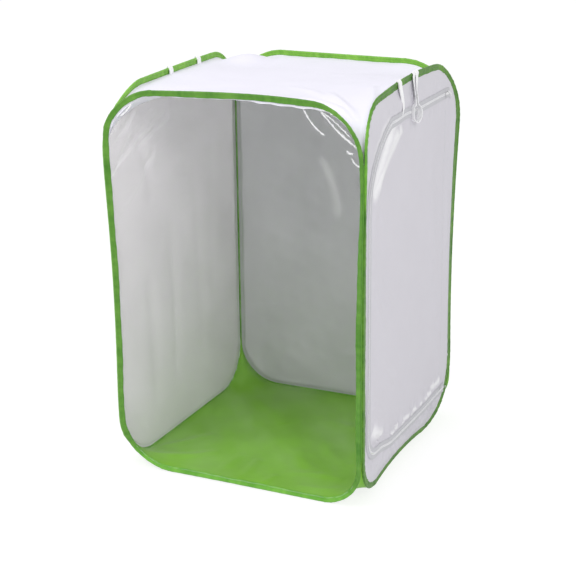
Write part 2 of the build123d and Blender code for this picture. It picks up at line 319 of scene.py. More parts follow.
# %% A tube from rings
def tube(name, rings, run, material, closed=True, **values):
    """A strip with a closed ring of points as its section, counted as a right-handed screw turns."""
    rows, columns = rings.shape[:2]
    row, column = quads(rows, columns, closed, True)
    faces = ((row % rows) * columns + column % columns).tolist()
    girth = np.linalg.norm(np.diff(rings[0], axis=0, append=rings[0][:1]), axis=1)
    around = np.concatenate([[0], np.cumsum(girth)])
    run = np.append(run, 2 * run[-1] - run[-2])
    flat = np.stack([run[row], around[column]], -1).reshape(-1, 2)
    if not closed:
        ring = np.arange(columns)
        faces += [ring[::-1].tolist(), (ring + (rows - 1) * columns).tolist()]
        flat = np.concatenate([flat, np.zeros((2 * columns, 2))])
    return mesh_piece(name, rings.reshape(-1, 3), faces, flat, material, **values)


print("tube helper ready")

# %% [markdown]
# ## Shader groups
# Several finishes share the same small effects: a woven grain, a colour that is a little uneven from
# washing and handling, and sharp creases. Each effect is built once as a node group with named inputs,
# and a material places it with its own values. A group gives out only colours, heights and masks; the
# surface itself stays in the material.

# %% Nodes and links in one call
def feed(tree, socket, source):
    """Gives an input its source: a node's output is linked, a value is set, and None leaves it alone."""
    if isinstance(source, bpy.types.NodeSocket):
        tree.links.new(source, socket)
    elif source is not None:
        socket.default_value = source


def node(tree, kind, *sources, **settings):
    """Adds a node, with a source for each of its inputs in turn."""
    made = tree.nodes.new(kind)
    for key, value in settings.items():
        setattr(made, key, value)
    for socket, source in zip(made.inputs, sources):
        feed(tree, socket, source)
    return made


def maths(tree, operation, *sources, clamp=False):
    return node(tree, "ShaderNodeMath", *sources, operation=operation, use_clamp=clamp).outputs[0]


def times(tree, *sources):
    return maths(tree, "MULTIPLY", *sources)


def vectors(tree, operation, *sources):
    made = node(tree, "ShaderNodeVectorMath", *sources, operation=operation)
    return made.outputs["Value"] if operation in ("DOT_PRODUCT", "LENGTH") else made.outputs["Vector"]


def scaled(tree, vector, factor):
    """A vector or a colour times a number."""
    made = node(tree, "ShaderNodeVectorMath", vector, operation="SCALE")
    feed(tree, made.inputs["Scale"], factor)
    return made.outputs[0]


def eased(tree, value, start, end, first, last):
    """A value mapped smoothly from one range to another."""
    return node(tree, "ShaderNodeMapRange", value, start, end, first, last,
                interpolation_type="SMOOTHSTEP").outputs[0]


def blend_colours(tree, factor, first, second):
    made = node(tree, "ShaderNodeMix", data_type="RGBA")
    for number, source in ((0, factor), (6, first), (7, second)):
        feed(tree, made.inputs[number], source)
    return made.outputs[2]


print("node helpers ready")

# %% [markdown]
# ### Empty node groups
# A group is a small tree with named sockets, which any number of materials can hold. The shader groups
# and the geometry trees below all start from this one helper.

# %% An empty group with named sockets
def new_group(name, kind, inputs, outputs):
    """An empty node group with named sockets: inputs as (name, kind, value), outputs as (name, kind)."""
    group = bpy.data.node_groups.new(name, kind)
    for title, socket_kind, value in inputs:
        socket = group.interface.new_socket(title, in_out="INPUT", socket_type="NodeSocket" + socket_kind)
        if value is not None:
            socket.default_value = value
    for title, socket_kind in outputs:
        group.interface.new_socket(title, in_out="OUTPUT", socket_type="NodeSocket" + socket_kind)
    return group, group.nodes.new("NodeGroupInput").outputs, group.nodes.new("NodeGroupOutput").inputs


def shader_group(name, inputs, outputs):
    return new_group(name, "ShaderNodeTree", inputs, outputs)


print("group helpers ready")

# %% [markdown]
# ### Plain weave
# Cloth is threads over and under each other. An image of a weave repeats and blurs up close. Two sine
# waves at right angles give the same hills at any distance, and where both pass nought there is a hole
# between the threads.

# %% Plain weave
weave, given, taken = shader_group(
    "Plain weave",
    [("Place", "Vector", None), ("Threads per metre", "Float", 1500.0), ("Hole size", "Float", 0.3)],
    [("Height", "Float"), ("Hole", "Float")],
)
place = node(weave, "ShaderNodeSeparateXYZ", given["Place"]).outputs
turns = [times(weave, times(weave, place[axis], given["Threads per metre"]), pi) for axis in (0, 1)]
waves = [maths(weave, "SINE", turn) for turn in turns]
crossing = times(weave, *waves)
feed(weave, taken["Height"], maths(weave, "MULTIPLY_ADD", crossing, 0.5, 0.5))
gaps = [maths(weave, "ABSOLUTE", maths(weave, "COSINE", turn)) for turn in turns]
open_share = maths(weave, "SUBTRACT", 1.0, given["Hole size"])
hole = times(weave, *(maths(weave, "GREATER_THAN", gap, open_share) for gap in gaps))
feed(weave, taken["Hole"], hole)
print(weave.name, "has", len(weave.nodes), "nodes")

# %% [markdown]
# ### Uneven colour
# No cloth or metal has quite one colour: dye, wear and handling leave soft patches. Painting them by
# hand is slow, so noise lightens and darkens the colour by a small share.

# %% Uneven colour
uneven, given, taken = shader_group(
    "Uneven colour",
    [("Place", "Vector", None), ("Colour", "Color", (1, 1, 1, 1)), ("Patches per metre", "Float", 12.0),
     ("Strength", "Float", 0.1)],
    [("Colour", "Color"), ("Patch", "Float")],
)
patches = node(uneven, "ShaderNodeTexNoise", given["Place"], None, given["Patches per metre"], 3.0, 0.55)
patch = maths(uneven, "MULTIPLY_ADD", patches.outputs[0], 2.0, -1.0)
share = maths(uneven, "MULTIPLY_ADD", patch, given["Strength"], 1.0)
feed(uneven, taken["Colour"], scaled(uneven, given["Colour"], share))
feed(uneven, taken["Patch"], patches.outputs[0])
print(uneven.name, "has", len(uneven.nodes), "nodes")

# %% [markdown]
# ### Crease
# A sheet that was packed folded keeps sharp lines. In the mesh each would need very small faces. As a
# mask in the material a crease is one line from a start to an end, bowed sideways and fading at both
# ends, and it can raise the sheet's bump and whiten the sheet, as a painted highlight on the crease.

# %% Crease
crease, given, taken = shader_group(
    "Crease",
    [("Place", "Vector", None), ("Start", "Vector", None), ("End", "Vector", None), ("Bow", "Float", 0.0),
     ("Width", "Float", 0.003)],
    [("Line", "Float")],
)
path = vectors(crease, "SUBTRACT", given["End"], given["Start"])
arm = vectors(crease, "SUBTRACT", given["Place"], given["Start"])
length = vectors(crease, "LENGTH", path)
share = maths(crease, "DIVIDE", vectors(crease, "DOT_PRODUCT", arm, path), times(crease, length, length))
inside = maths(crease, "MAXIMUM", maths(crease, "MINIMUM", share, 1.0), 0.0)
sideways = vectors(crease, "NORMALIZE", vectors(crease, "CROSS_PRODUCT", path, (0, 0, 1)))
arch = times(crease, times(crease, inside, maths(crease, "SUBTRACT", 1.0, inside)), 4.0)
offset = maths(crease, "SUBTRACT", vectors(crease, "DOT_PRODUCT", arm, sideways),
               times(crease, arch, given["Bow"]))
beyond = times(crease, maths(crease, "SUBTRACT", share, inside), length)
away = maths(crease, "SQRT", maths(crease, "ADD", times(crease, offset, offset),
                                   times(crease, beyond, beyond)))
near = eased(crease, away, given["Width"], 0.0, 0.0, 1.0)
taper = eased(crease, arch, 0.0, 0.35, 0.0, 1.0)
feed(crease, taken["Line"], times(crease, near, taper))
print("shader groups:", ", ".join(group.name for group in bpy.data.node_groups))

# %% [markdown]
# ## The finishes
# The tent's cloths differ mostly in colour, weave and shine: satin polyester on the tapes, coarser
# cloth on the floor, a close white cloth on the roof and door, and open mesh on two walls. Each kind has
# its own function, and all of them put the weave in the bump and soft patches in the colour. Sheen,
# coat and the like are the same all over a cloth, so they are set on the shader.

# %% A new material
def use(tree, group, **values):
    """Places a shader group in a material. Underscores in the input names stand for spaces."""
    made = tree.nodes.new("ShaderNodeGroup")
    made.node_tree = group
    for title, source in values.items():
        feed(tree, made.inputs[title.replace("_", " ")], source)
    return made.outputs


def new_material(name, colour, roughness, **constants):
    """A material with a Principled surface: returns it, its tree, its surface inputs and its flat pattern."""
    material = bpy.data.materials.new(name)
    material.use_nodes = True
    tree = material.node_tree
    surface = tree.nodes["Principled BSDF"].inputs
    surface["Base Color"].default_value = (*colour, 1)
    surface["Roughness"].default_value = roughness
    for title, value in constants.items():
        surface[title.replace("_", " ")].default_value = value
    flat = node(tree, "ShaderNodeUVMap", uv_map="flat").outputs[0]
    return material, tree, surface, flat


def bump(tree, surface, height, depth):
    made = node(tree, "ShaderNodeBump")
    for title, source in (("Strength", 1.0), ("Distance", depth), ("Height", height)):
        feed(tree, made.inputs[title], source)
    feed(tree, surface["Normal"], made.outputs[0])


print("material helpers ready")

# %% [markdown]
# ### Creases on a sheet
# One sheet has many creases. They are joined by taking the strongest at each place, and a little noise
# in the place makes their lines wander, as real creases do.

# %% All the creases of one sheet
WANDERS_PER_METRE = 160.0


def crease_lines(tree, flat, creases, jag):
    """All the creases of one sheet in one mask. jag is how far their lines wander, in metres."""
    wander = node(tree, "ShaderNodeTexNoise", flat, None, WANDERS_PER_METRE, 2.0, 0.6).outputs["Color"]
    shift = vectors(tree, "MULTIPLY", vectors(tree, "SUBTRACT", wander, (0.5, 0.5, 0.5)),
                    (2 * jag, 2 * jag, 0.0))
    place = vectors(tree, "ADD", flat, shift)
    lines = [use(tree, crease, Place=place, Start=(*start, 0), End=(*end, 0), Bow=bow, Width=width)["Line"]
             for start, end, bow, width in creases]
    total = lines[0]
    for line in lines[1:]:
        total = maths(tree, "MAXIMUM", total, line)
    return total


print("crease helper ready")

# %% [markdown]
# ### Woven cloths
# The roof, the floor, the zip's tapes and the webbing are all woven polyester, so one function makes
# them. They differ mostly in thread count, colour and rumples, and rumples are noise in the bump.

# %% Cloths
# The strokes' white is partly doubled cloth and partly painted highlight.
STROKE_JAG, STROKE_STRENGTH, DOUBLED_AND_HIGHLIT_WHITE = 0.0025, 0.72, (0.95, 0.95, 0.96, 1)


def cloth(name, colour, roughness=0.7, threads=1400.0, weave_depth=0.00008, patches=10.0, strength=0.06,
          rumple_size=0.03, rumple_depth=0.0006, doubled_and_highlit=(), **constants):
    """Strokes given here whiten the cloth where it lies double, partly as painted highlights."""
    material, tree, surface, flat = new_material(name, colour, roughness, **constants)
    grain = use(tree, weave, Place=flat, Threads_per_metre=threads)
    shade = use(tree, uneven, Place=flat, Colour=(*colour, 1), Patches_per_metre=patches, Strength=strength)
    painted = shade["Colour"]
    if doubled_and_highlit:
        # The strokes whiten the colour, partly as painted highlights.
        strokes = times(tree, crease_lines(tree, flat, doubled_and_highlit, STROKE_JAG), STROKE_STRENGTH)
        painted = blend_colours(tree, strokes, painted, DOUBLED_AND_HIGHLIT_WHITE)
    feed(tree, surface["Base Color"], painted)
    rumples = node(tree, "ShaderNodeTexNoise", flat, None, 1 / rumple_size, 2.0, 0.5).outputs[0]
    height = maths(tree, "MULTIPLY_ADD", grain["Height"], weave_depth / rumple_depth, rumples)
    bump(tree, surface, height, rumple_depth)
    return material


roof_cloth = cloth("white roof cloth", (0.85, 0.835, 0.93), 0.75, rumple_size=0.05, strength=0.02)
floor_cloth = cloth("green floor cloth", (0.205, 0.505, 0.022), 0.6, threads=900.0, patches=7.0,
                    strength=0.22, Sheen_Weight=0.15)
tape_cloth = cloth("zip tape", (0.56, 0.56, 0.59), 0.65, threads=2200.0, rumple_size=0.01,
                   rumple_depth=0.0003)
webbing = cloth("white webbing", (0.96, 0.96, 0.97), 0.6, threads=700.0, weave_depth=0.0002)
print("cloths:", ", ".join(made.name for made in (roof_cloth, floor_cloth, tape_cloth, webbing)))

# %% [markdown]
# ### The door's cloth
# The door and its surround lie double beside the zip, where less light passes and the cloth is whiter.
# Strokes of the crease group follow the zip's line and whiten it there, which is simpler than a second
# sheet behind it. The strokes are also painted highlights, for the light that the folds beside the
# zip catch.

# %% The door's cloth
# Where the cloth lies double beside the zip. These strokes are also painted highlights on its folds.
DOUBLED_AND_HIGHLIT = [  # strokes along the zip: round its upper corner, at its lower corner and along its foot
    ((-0.126, 0.840), (-0.246, 0.722), 0.024, 0.022),
    ((-0.086, 0.846), (-0.242, 0.698), 0.014, 0.022),
    ((-0.090, 0.818), (-0.240, 0.690), 0.004, 0.024),
    ((-0.070, 0.822), (-0.206, 0.722), -0.003, 0.017),
    ((-0.232, 0.160), (-0.182, 0.126), 0.006, 0.022),
    ((-0.118, 0.108), (-0.078, 0.122), 0.003, 0.010),
    ((-0.060, 0.112), (0.000, 0.118), 0.004, 0.008),
    ((0.010, 0.106), (0.052, 0.124), 0.003, 0.011),
    ((0.066, 0.112), (0.098, 0.120), 0.002, 0.008),
    ((0.104, 0.108), (0.166, 0.128), 0.004, 0.013),
    ((0.170, 0.112), (0.205, 0.130), 0.002, 0.011),
]
panel_cloth = cloth("white panel cloth", (0.655, 0.64, 0.69), 0.6, rumple_size=0.04, strength=0.03,
                    doubled_and_highlit=DOUBLED_AND_HIGHLIT)
print(panel_cloth.name, "has", len(DOUBLED_AND_HIGHLIT), "strokes")

# %% [markdown]
# ### Satin tape
# Satin shines, and where the sewing gathers a tape, light and dark bands lie across it. An anisotropic
# shader would need tangents combed along every loop, so the bands are painted by noise that is
# stretched across the tape, and raised a little in the bump.

# %% Satin
SHORT_BANDS, LONG_BANDS = 75.0, 16.0  # to a metre


def satin(name, light, dark, painted_highlights=()):
    """Places given as (middle, stretch, gain) get painted highlights, where the tape is pulled flat."""
    material, tree, surface, flat = new_material(name, light, 0.45, Sheen_Weight=0.05,
                                                 Specular_IOR_Level=0.25)
    stretched = node(tree, "ShaderNodeMapping", flat).outputs[0]
    stretched.node.inputs["Scale"].default_value = (1.0, 0.35, 1.0)
    bands = use(tree, uneven, Place=stretched, Patches_per_metre=SHORT_BANDS, Strength=0.0)["Patch"]
    long_bands = use(tree, uneven, Place=stretched, Patches_per_metre=LONG_BANDS, Strength=0.0)["Patch"]
    together = maths(tree, "MULTIPLY_ADD", long_bands, 0.7, times(tree, bands, 0.5))
    share = node(tree, "ShaderNodeMapRange", together, 0.42, 0.78, 0.0, 1.0).outputs[0]
    colour = blend_colours(tree, share, (*dark, 1), (*light, 1))
    place = node(tree, "ShaderNodeTexCoord").outputs["Object"]
    # Each painted highlight scales the colour up near its middle.
    for middle, stretch, gain in painted_highlights:
        arm = vectors(tree, "MULTIPLY", vectors(tree, "SUBTRACT", place, middle), stretch)
        colour = scaled(tree, colour, eased(tree, vectors(tree, "LENGTH", arm), 0.4, 1.0, gain, 1.0))
    feed(tree, surface["Base Color"], colour)
    grain = use(tree, weave, Place=flat, Threads_per_metre=1800.0)
    height = maths(tree, "MULTIPLY_ADD", grain["Height"], 0.15, bands)
    bump(tree, surface, height, 0.0005)
    return material


# The three satins are one tape: the front's and the side's copies are darker, as painted shade.
far_satin = satin("green satin on the back and the left", (0.26, 0.55, 0.08), (0.13, 0.37, 0.035))
shaded_front_satin = satin("green satin on the front", (0.138, 0.330, 0.045), (0.060, 0.205, 0.018),
                    [((0, -0.3, 0), (0, 0, 16.0), 1.65)])
shaded_side_satin = satin("green satin on the side", (0.125, 0.300, 0.030), (0.040, 0.150, 0.012),
                   [((0.3, -0.27, 0.80), (0, 9.0, 7.0), 1.6)])
TAPES = {"front": shaded_front_satin, "right": shaded_side_satin, "back": far_satin, "left": far_satin}
print("tapes:", ", ".join(f"{wall} {made.name}" for wall, made in TAPES.items()))

# %% [markdown]
# ### Mesh walls
# Insect mesh is mostly holes, and from a distance its holes and threads blend into a grey veil. The
# hole mask of the weave makes the threads solid and the holes clear, and the share of light that
# passes is set so that the wall reads as the right grey.

# %% Mesh
# Along its creases the mesh's colour is whitened as a painted highlight, and its cover is thinned.
HOLE_CLEARS, CREASE_CLEARS, CREASE_HIGHLIGHT = -0.3, -0.07, 0.3


def open_mesh(name, colour, threads, cover_low, cover_high, creases):
    material, tree, surface, flat = new_material(name, colour, 0.8)
    grain = use(tree, weave, Place=flat, Threads_per_metre=threads, Hole_size=0.5)
    shade = use(tree, uneven, Place=flat, Colour=(*colour, 1), Patches_per_metre=7.0, Strength=0.05)
    lines = crease_lines(tree, flat, creases, 0.001)
    # Creases whiten the colour: painted highlights.
    feed(tree, surface["Base Color"],
         blend_colours(tree, times(tree, lines, CREASE_HIGHLIGHT), shade["Colour"], (1, 1, 1, 1)))
    # The cover runs from cover_low low down to cover_high high up. On the side mesh it thins upwards, so more
    # of the white world behind shows through and the wall is lighter there: painted light, for the light that
    # the roof lets in.
    height = node(tree, "ShaderNodeSeparateXYZ", flat).outputs[1]
    cover = node(tree, "ShaderNodeMapRange", height, 0.2, 0.7, cover_low, cover_high).outputs[0]
    cover = maths(tree, "MULTIPLY_ADD", lines, CREASE_CLEARS, cover)
    feed(tree, surface["Alpha"], maths(tree, "MULTIPLY_ADD", grain["Hole"], HOLE_CLEARS, cover))
    bump(tree, surface, grain["Height"], 0.0001)
    return material


# The material whitens these creases as painted highlights.
LEFT_CREASES = [  # on the left wall's flat pattern, which runs from the back to the front
    ((0.238, 0.834), (0.290, 0.780), 0.004, 0.0050),
    ((0.182, 0.834), (0.262, 0.774), 0.006, 0.0060),
    ((0.200, 0.800), (0.282, 0.690), 0.006, 0.0050),
    ((0.108, 0.788), (0.268, 0.706), -0.008, 0.0060),
    ((0.042, 0.784), (0.198, 0.734), -0.006, 0.0055),
    ((0.120, 0.714), (0.168, 0.684), 0.004, 0.0050),
    ((0.150, 0.690), (0.262, 0.600), 0.006, 0.0045),
    ((0.060, 0.520), (0.050, 0.140), 0.010, 0.0050),
]
BACK_CREASES = [
    ((-0.040, 0.780), (-0.150, 0.700), 0.010, 0.0180),
    ((0.060, 0.640), (0.010, 0.480), 0.012, 0.0200),
]
side_mesh = open_mesh("white side mesh", (0.88, 0.85, 0.88), 800.0, 0.97, 0.78, LEFT_CREASES)
back_mesh = open_mesh("grey back mesh", (0.61, 0.61, 0.63), 800.0, 0.91, 0.88, BACK_CREASES)
print("mesh:", side_mesh.name, "and", back_mesh.name)

# %% [markdown]
# ### The window's film
# Clear plastic is seen by its gloss and its creases. Glass would bend what is behind it, which so thin
# a film doesn't do, so the film is nearly clear, with a coat, and the creases make it white where they
# run: partly folded plastic gone white and partly painted reflections. A faint cloudy veil over it is
# haze and painted reflection.

# %% The window's film
WINDOW_CREASES = [  # start and end on the window's flat pattern, bow and width, in metres
    ((0.164, 0.883), (0.213, 0.833), 0.005, 0.0026),
    ((0.202, 0.885), (0.284, 0.817), 0.004, 0.0032),
    ((0.210, 0.879), (0.270, 0.836), -0.003, 0.0020),
    ((0.204, 0.886), (0.262, 0.860), -0.005, 0.0028),
    ((0.258, 0.809), (0.274, 0.803), 0.0, 0.0028),
    ((0.270, 0.797), (0.291, 0.780), 0.005, 0.0026),
    ((-0.262, 0.842), (-0.240, 0.872), 0.003, 0.0026),
]


def clear_film():
    material, tree, surface, flat = new_material("clear window film", (0.95, 0.95, 0.96), 0.25,
                                                 Coat_Weight=0.4)
    # The creases whiten the film through its alpha: partly folded plastic gone white, partly painted
    # reflections. The faint cloudy veil is haze and painted reflection.
    total = crease_lines(tree, flat, WINDOW_CREASES, 0.0035)
    haze_and_reflection = use(tree, uneven, Place=flat, Patches_per_metre=9.0, Strength=0.0)["Patch"]
    veil = node(tree, "ShaderNodeMapRange", haze_and_reflection, 0.4, 0.8, 0.0, 0.03).outputs[0]
    feed(tree, surface["Alpha"], maths(tree, "MULTIPLY_ADD", total, 0.8, veil, clamp=True))
    bump(tree, surface, total, 0.0008)
    return material


film = clear_film()
print(film.name, "has", len(WINDOW_CREASES), "creases")

# %% [markdown]
# ### Metal
# Spring wire is drawn through a die, and crimps and zip sliders are pressed or cast, so all of them have
# fine scratches. Noise that breaks up the roughness reads as metal better than any change of colour.

# %% Metal
def drawn_metal(name, colour, roughness):
    """Fine scratches change its roughness and stand in its bump."""
    material, tree, surface, _ = new_material(name, colour, roughness, Metallic=1.0)
    place = node(tree, "ShaderNodeTexCoord").outputs["Object"]
    scratches = node(tree, "ShaderNodeTexNoise", place, None, 900.0, 3.0, 0.6).outputs[0]
    rough = node(tree, "ShaderNodeMapRange", scratches, 0.3, 0.7, roughness - 0.08, roughness + 0.1)
    feed(tree, surface["Roughness"], rough.outputs[0])
    shade = use(tree, uneven, Place=place, Colour=(*colour, 1), Patches_per_metre=260.0, Strength=0.08)
    feed(tree, surface["Base Color"], shade["Colour"])
    bump(tree, surface, scratches, 0.00003)
    return material


spring_steel = drawn_metal("spring steel wire", (0.36, 0.37, 0.38), 0.32)
crimp_steel = drawn_metal("plated crimp", (0.60, 0.60, 0.58), 0.36)
zip_metal = drawn_metal("zip slider metal", (0.74, 0.74, 0.75), 0.30)
print("metals:", spring_steel.name, crimp_steel.name, zip_metal.name, sep=", ")

# %% [markdown]
# ### Thread and nylon
# Sewing thread and the zip's coil are fine plastic: matt, a little uneven and with a soft sheen. They
# are too fine for a weave, so the patches of colour are also their bump.

# %% Thread and nylon
def thread(name, colour):
    material, tree, surface, _ = new_material(name, colour, 0.6, Sheen_Weight=0.2)
    place = node(tree, "ShaderNodeTexCoord").outputs["Object"]
    shade = use(tree, uneven, Place=place, Colour=(*colour, 1), Patches_per_metre=500.0, Strength=0.25)
    feed(tree, surface["Base Color"], shade["Colour"])
    bump(tree, surface, shade["Patch"], 0.00008)
    return material


green_thread = thread("green sewing thread", (0.12, 0.36, 0.03))
white_thread = thread("white sewing thread", (0.80, 0.82, 0.78))
coil_nylon = thread("white coil nylon", (0.80, 0.80, 0.82))
print("materials:", len(bpy.data.materials))

# %% [markdown]
# ## Two geometry trees
# Sewing leaves two marks that repeat along a path. The tape gathers into small pleats, closest where it
# turns a corner, because a straight tape has to lose length on the inside of the bend. And the thread
# shows as a row of short stitches. Each is a rule, so each is a Geometry Nodes tree with its sizes as
# inputs. The result is turned into a plain mesh.

# %% Geometry trees start and end alike
def geometry_tree(name, inputs):
    return new_group(name, "GeometryNodeTree", [("Geometry", "Geometry", None), *inputs],
                     [("Geometry", "Geometry")])


def attribute(tree, name, kind):
    return node(tree, "GeometryNodeInputNamedAttribute", name, data_type=kind).outputs[0]


def finish_tree(tree, shape, given, taken):
    """Makes every copy real and gives the whole its material."""
    plain = node(tree, "GeometryNodeRealizeInstances", shape).outputs[0]
    feed(tree, taken[0], node(tree, "GeometryNodeSetMaterial", plain, None, given["Material"]).outputs[0])


print("geometry tree helpers ready")

# %% [markdown]
# ### The gathers
# A gathered tape puffs out and in along its length. The tree moves each point by noise that is read on
# a ring as long as the loop, so that the end meets the start, and it moves them more at the corners.

# %% The gathers tree
gathers, given, taken = geometry_tree("Gathers", [
    ("Pleat length", "Float", 0.012), ("Depth on the straight", "Float", 0.0005),
    ("Depth at the corners", "Float", 0.0015), ("Seed", "Float", 1.0), ("Material", "Material", None),
])
pleats_per_metre = maths(gathers, "DIVIDE", 1.0, given["Pleat length"])
ring_place = scaled(gathers, attribute(gathers, "ring", "FLOAT_VECTOR"), pleats_per_metre)
layer = maths(gathers, "MULTIPLY_ADD", attribute(gathers, "lip", "FLOAT"), 0.5, given["Seed"])
layers = node(gathers, "ShaderNodeCombineXYZ", 0.0, 0.0, layer).outputs[0]
noise = node(gathers, "ShaderNodeTexNoise", vectors(gathers, "ADD", ring_place, layers),
             None, 1.0, 2.0, 0.5).outputs[0]
swing = maths(gathers, "MULTIPLY_ADD", noise, 2.0, -1.0)
corner = attribute(gathers, "corner", "FLOAT")
depth = maths(gathers, "ADD", given["Depth on the straight"],
              times(gathers, corner, given["Depth at the corners"]))
reach = times(gathers, times(gathers, swing, depth), 2.0)
along_lip = times(gathers, times(gathers, reach, 0.4), attribute(gathers, "lip", "FLOAT"))
sideways = scaled(gathers, attribute(gathers, "facing", "FLOAT_VECTOR"), along_lip)
# It hardly puffs inwards, where the lips hold the cloth.
outwards = maths(gathers, "MAXIMUM", times(gathers, reach, 0.5), -0.0001)
puffed = scaled(gathers, node(gathers, "GeometryNodeInputNormal").outputs[0], outwards)
moved = node(gathers, "GeometryNodeSetPosition", given["Geometry"], None, None,
             vectors(gathers, "ADD", sideways, puffed)).outputs[0]
finish_tree(gathers, moved, given, taken)
print(gathers.name, "has", len(gathers.nodes), "nodes")

# %% [markdown]
# ### Stitches and teeth
# A row of stitches is one small bead set down again and again along a path. Instances on a resampled
# curve keep an even pitch however the path bends, and a small random turn makes each one differ.

# %% The beads tree
beads, given, taken = geometry_tree("Beads along a path", [
    ("Pitch", "Float", 0.004), ("Size", "Vector", (0.003, 0.0006, 0.0006)), ("Unevenness", "Float", 0.05),
    ("Seed", "Int", 1), ("Material", "Material", None),
])
strand = node(beads, "GeometryNodeMeshToCurve", given["Geometry"]).outputs[0]
spaced = node(beads, "GeometryNodeResampleCurve", strand)
spaced.mode = "LENGTH"
feed(beads, spaced.inputs["Length"], given["Pitch"])
unit = node(beads, "GeometryNodeMeshUVSphere", 6, 4, 0.5).outputs[0]
facing = node(beads, "FunctionNodeAxesToRotation", primary_axis="X", secondary_axis="Z")
feed(beads, facing.inputs[0], node(beads, "GeometryNodeInputTangent").outputs[0])
feed(beads, facing.inputs[1], attribute(beads, "facing", "FLOAT_VECTOR"))
jitter = node(beads, "FunctionNodeRandomValue", data_type="FLOAT_VECTOR")
for socket, sign in ((jitter.inputs[0], -1.0), (jitter.inputs[1], 1.0)):
    spread = node(beads, "ShaderNodeCombineXYZ").inputs
    for axis in spread:
        feed(beads, axis, times(beads, given["Unevenness"], sign))
    beads.links.new(spread[0].node.outputs[0], socket)
feed(beads, jitter.inputs["Seed"], given["Seed"])
placed = node(beads, "GeometryNodeInstanceOnPoints", spaced.outputs[0])
feed(beads, placed.inputs["Instance"], unit)
tilted = node(beads, "FunctionNodeRotateRotation", facing.outputs[0], jitter.outputs[0],
              rotation_space="LOCAL")
feed(beads, placed.inputs["Rotation"], tilted.outputs[0])
feed(beads, placed.inputs["Scale"], given["Size"])
finish_tree(beads, placed.outputs[0], given, taken)
print(beads.name, "has", len(beads.nodes), "nodes")

# %% [markdown]
# ### From a tree to a plain mesh
# A tree is live until its result is read. These two run a tree on a piece, keep the mesh that it gives
# and take the modifier off, so that what is seen is a plain mesh.

# %% Running a tree
def run_tree(piece, tree, **values):
    """Runs a geometry tree on a piece and leaves the plain mesh that it makes."""
    modifier = piece.modifiers.new(tree.name, "NODES")
    sockets = {item.name: item.identifier for item in tree.interface.items_tree if item.in_out == "INPUT"}
    modifier.node_group = tree
    for title, value in values.items():
        modifier[sockets[title.replace("_", " ")]] = value
    bpy.context.view_layer.update()
    evaluated = piece.evaluated_get(bpy.context.evaluated_depsgraph_get())
    made = bpy.data.meshes.new_from_object(evaluated)
    piece.modifiers.remove(modifier)
    old, piece.data = piece.data, made
    bpy.data.meshes.remove(old)
    piece.data.name = piece.name
    piece.data.shade_smooth()
    return piece


def bead_row(name, points, facing_out, material, closed=False, **values):
    """A row of beads along a path of points, with facing_out saying which way is outside at each point."""
    mesh = bpy.data.meshes.new(name)
    edges = [(i, i + 1) for i in range(len(points) - 1)] + ([(len(points) - 1, 0)] if closed else [])
    mesh.from_pydata(points.tolist(), edges, [])
    layer = mesh.attributes.new("facing", "FLOAT_VECTOR", "POINT")
    layer.data.foreach_set("vector", np.broadcast_to(facing_out, points.shape).reshape(-1).astype(np.float32))
    return run_tree(add_object(name, mesh), beads, Material=material, **values)


print("helpers that run a tree ready")

# %% [markdown]
# ## Wire loops and their crimps
# Each wall is carried by one ring of flat-coiling spring wire, whose two ends are pressed into a crimp
# tube. On the real tent it is felt rather than seen, inside the tape. It is a round bar swept along the
# loop's line, at the depth where the tape's sleeve holds it.

# %% The wire's section
wire_low, wire_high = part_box("front_wire_loop")
WIRE_RADIUS = (wire_high.y - wire_low.y) / 2
SLEEVE = high.z - wire_high.z + WIRE_RADIUS  # from a loop's outer edge to the wire's middle


def inside_line(line, depth):
    """Flat places at a depth inside a loop's line: one for each point, or a row of them."""
    depth = np.asarray(depth)
    columns = (slice(None), *(None,) * (depth.ndim - 1))
    return [line[way][columns] + line["inward"][:, axis][columns] * depth
            for axis, way in enumerate(("along", "up"))]


def round_section(name, line, radius, sides):
    """Rings of points round a loop's line, at the sleeve's depth."""
    angles = np.arange(sides) * 2 * pi / sides
    along, up = inside_line(line, SLEEVE - np.multiply.outer(radius, np.cos(angles)))
    return on_wall(name, along, up, -np.multiply.outer(radius, np.sin(angles)))


print("wires are", round(2 * WIRE_RADIUS, 4), "m thick and", round(SLEEVE, 5), "m inside each edge")

# %% [markdown]
# ### Which body a piece moves with
# The tent folds flat, so each piece has to follow its wall. Most ride on one body. The left and the back
# walls are sewn to a neighbour along one upright edge, where the real cloth bends between the two, and
# their pieces here ride on no body.

# %% Riding
HINGES = {  # walls that are sewn to another body: that body, and where the cloth starts and stops bending
    "left": ("front", (-0.310, -0.306, 0.45), (-0.310, -0.262, 0.45)),
    "back": ("right", (0.306, 0.2978, 0.45), (0.262, 0.2978, 0.45)),
}


def wall_piece(piece, body, slot_name, *nodes):
    """A piece moves with a body, except a body in HINGES, and stands for its model nodes. slot_name is not
    used.
    """
    if body in HINGES:
        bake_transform(piece)
    else:
        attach(piece, body)
    if nodes:
        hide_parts(*nodes)
    return piece


print("walls that bend beside another:", ", ".join(HINGES))

# %% [markdown]
# ### The crimps
# A crimp is a short steel tube, pressed in at two places. A dip in the radius is enough for that, so it
# is swept along the foot of the loop's line like the wire.

# %% Wires and crimps
CRIMP_LENGTH, CRIMP_WALL = 0.026, 0.0006
PRESSED_DEPTH, END_ROUNDING = 0.00035, 0.0003


def crimp_line(name):
    """The short part of a loop's line at its foot, where the crimp is."""
    line = loop_line(name, 0.001)
    half = line["run"][-1] / 2
    from_the_top = (line["run"] + half) % line["run"][-1]
    near = np.abs(from_the_top - half) <= CRIMP_LENGTH / 2
    order = np.argsort(from_the_top[near])
    return {key: values[near][order] for key, values in line.items()}


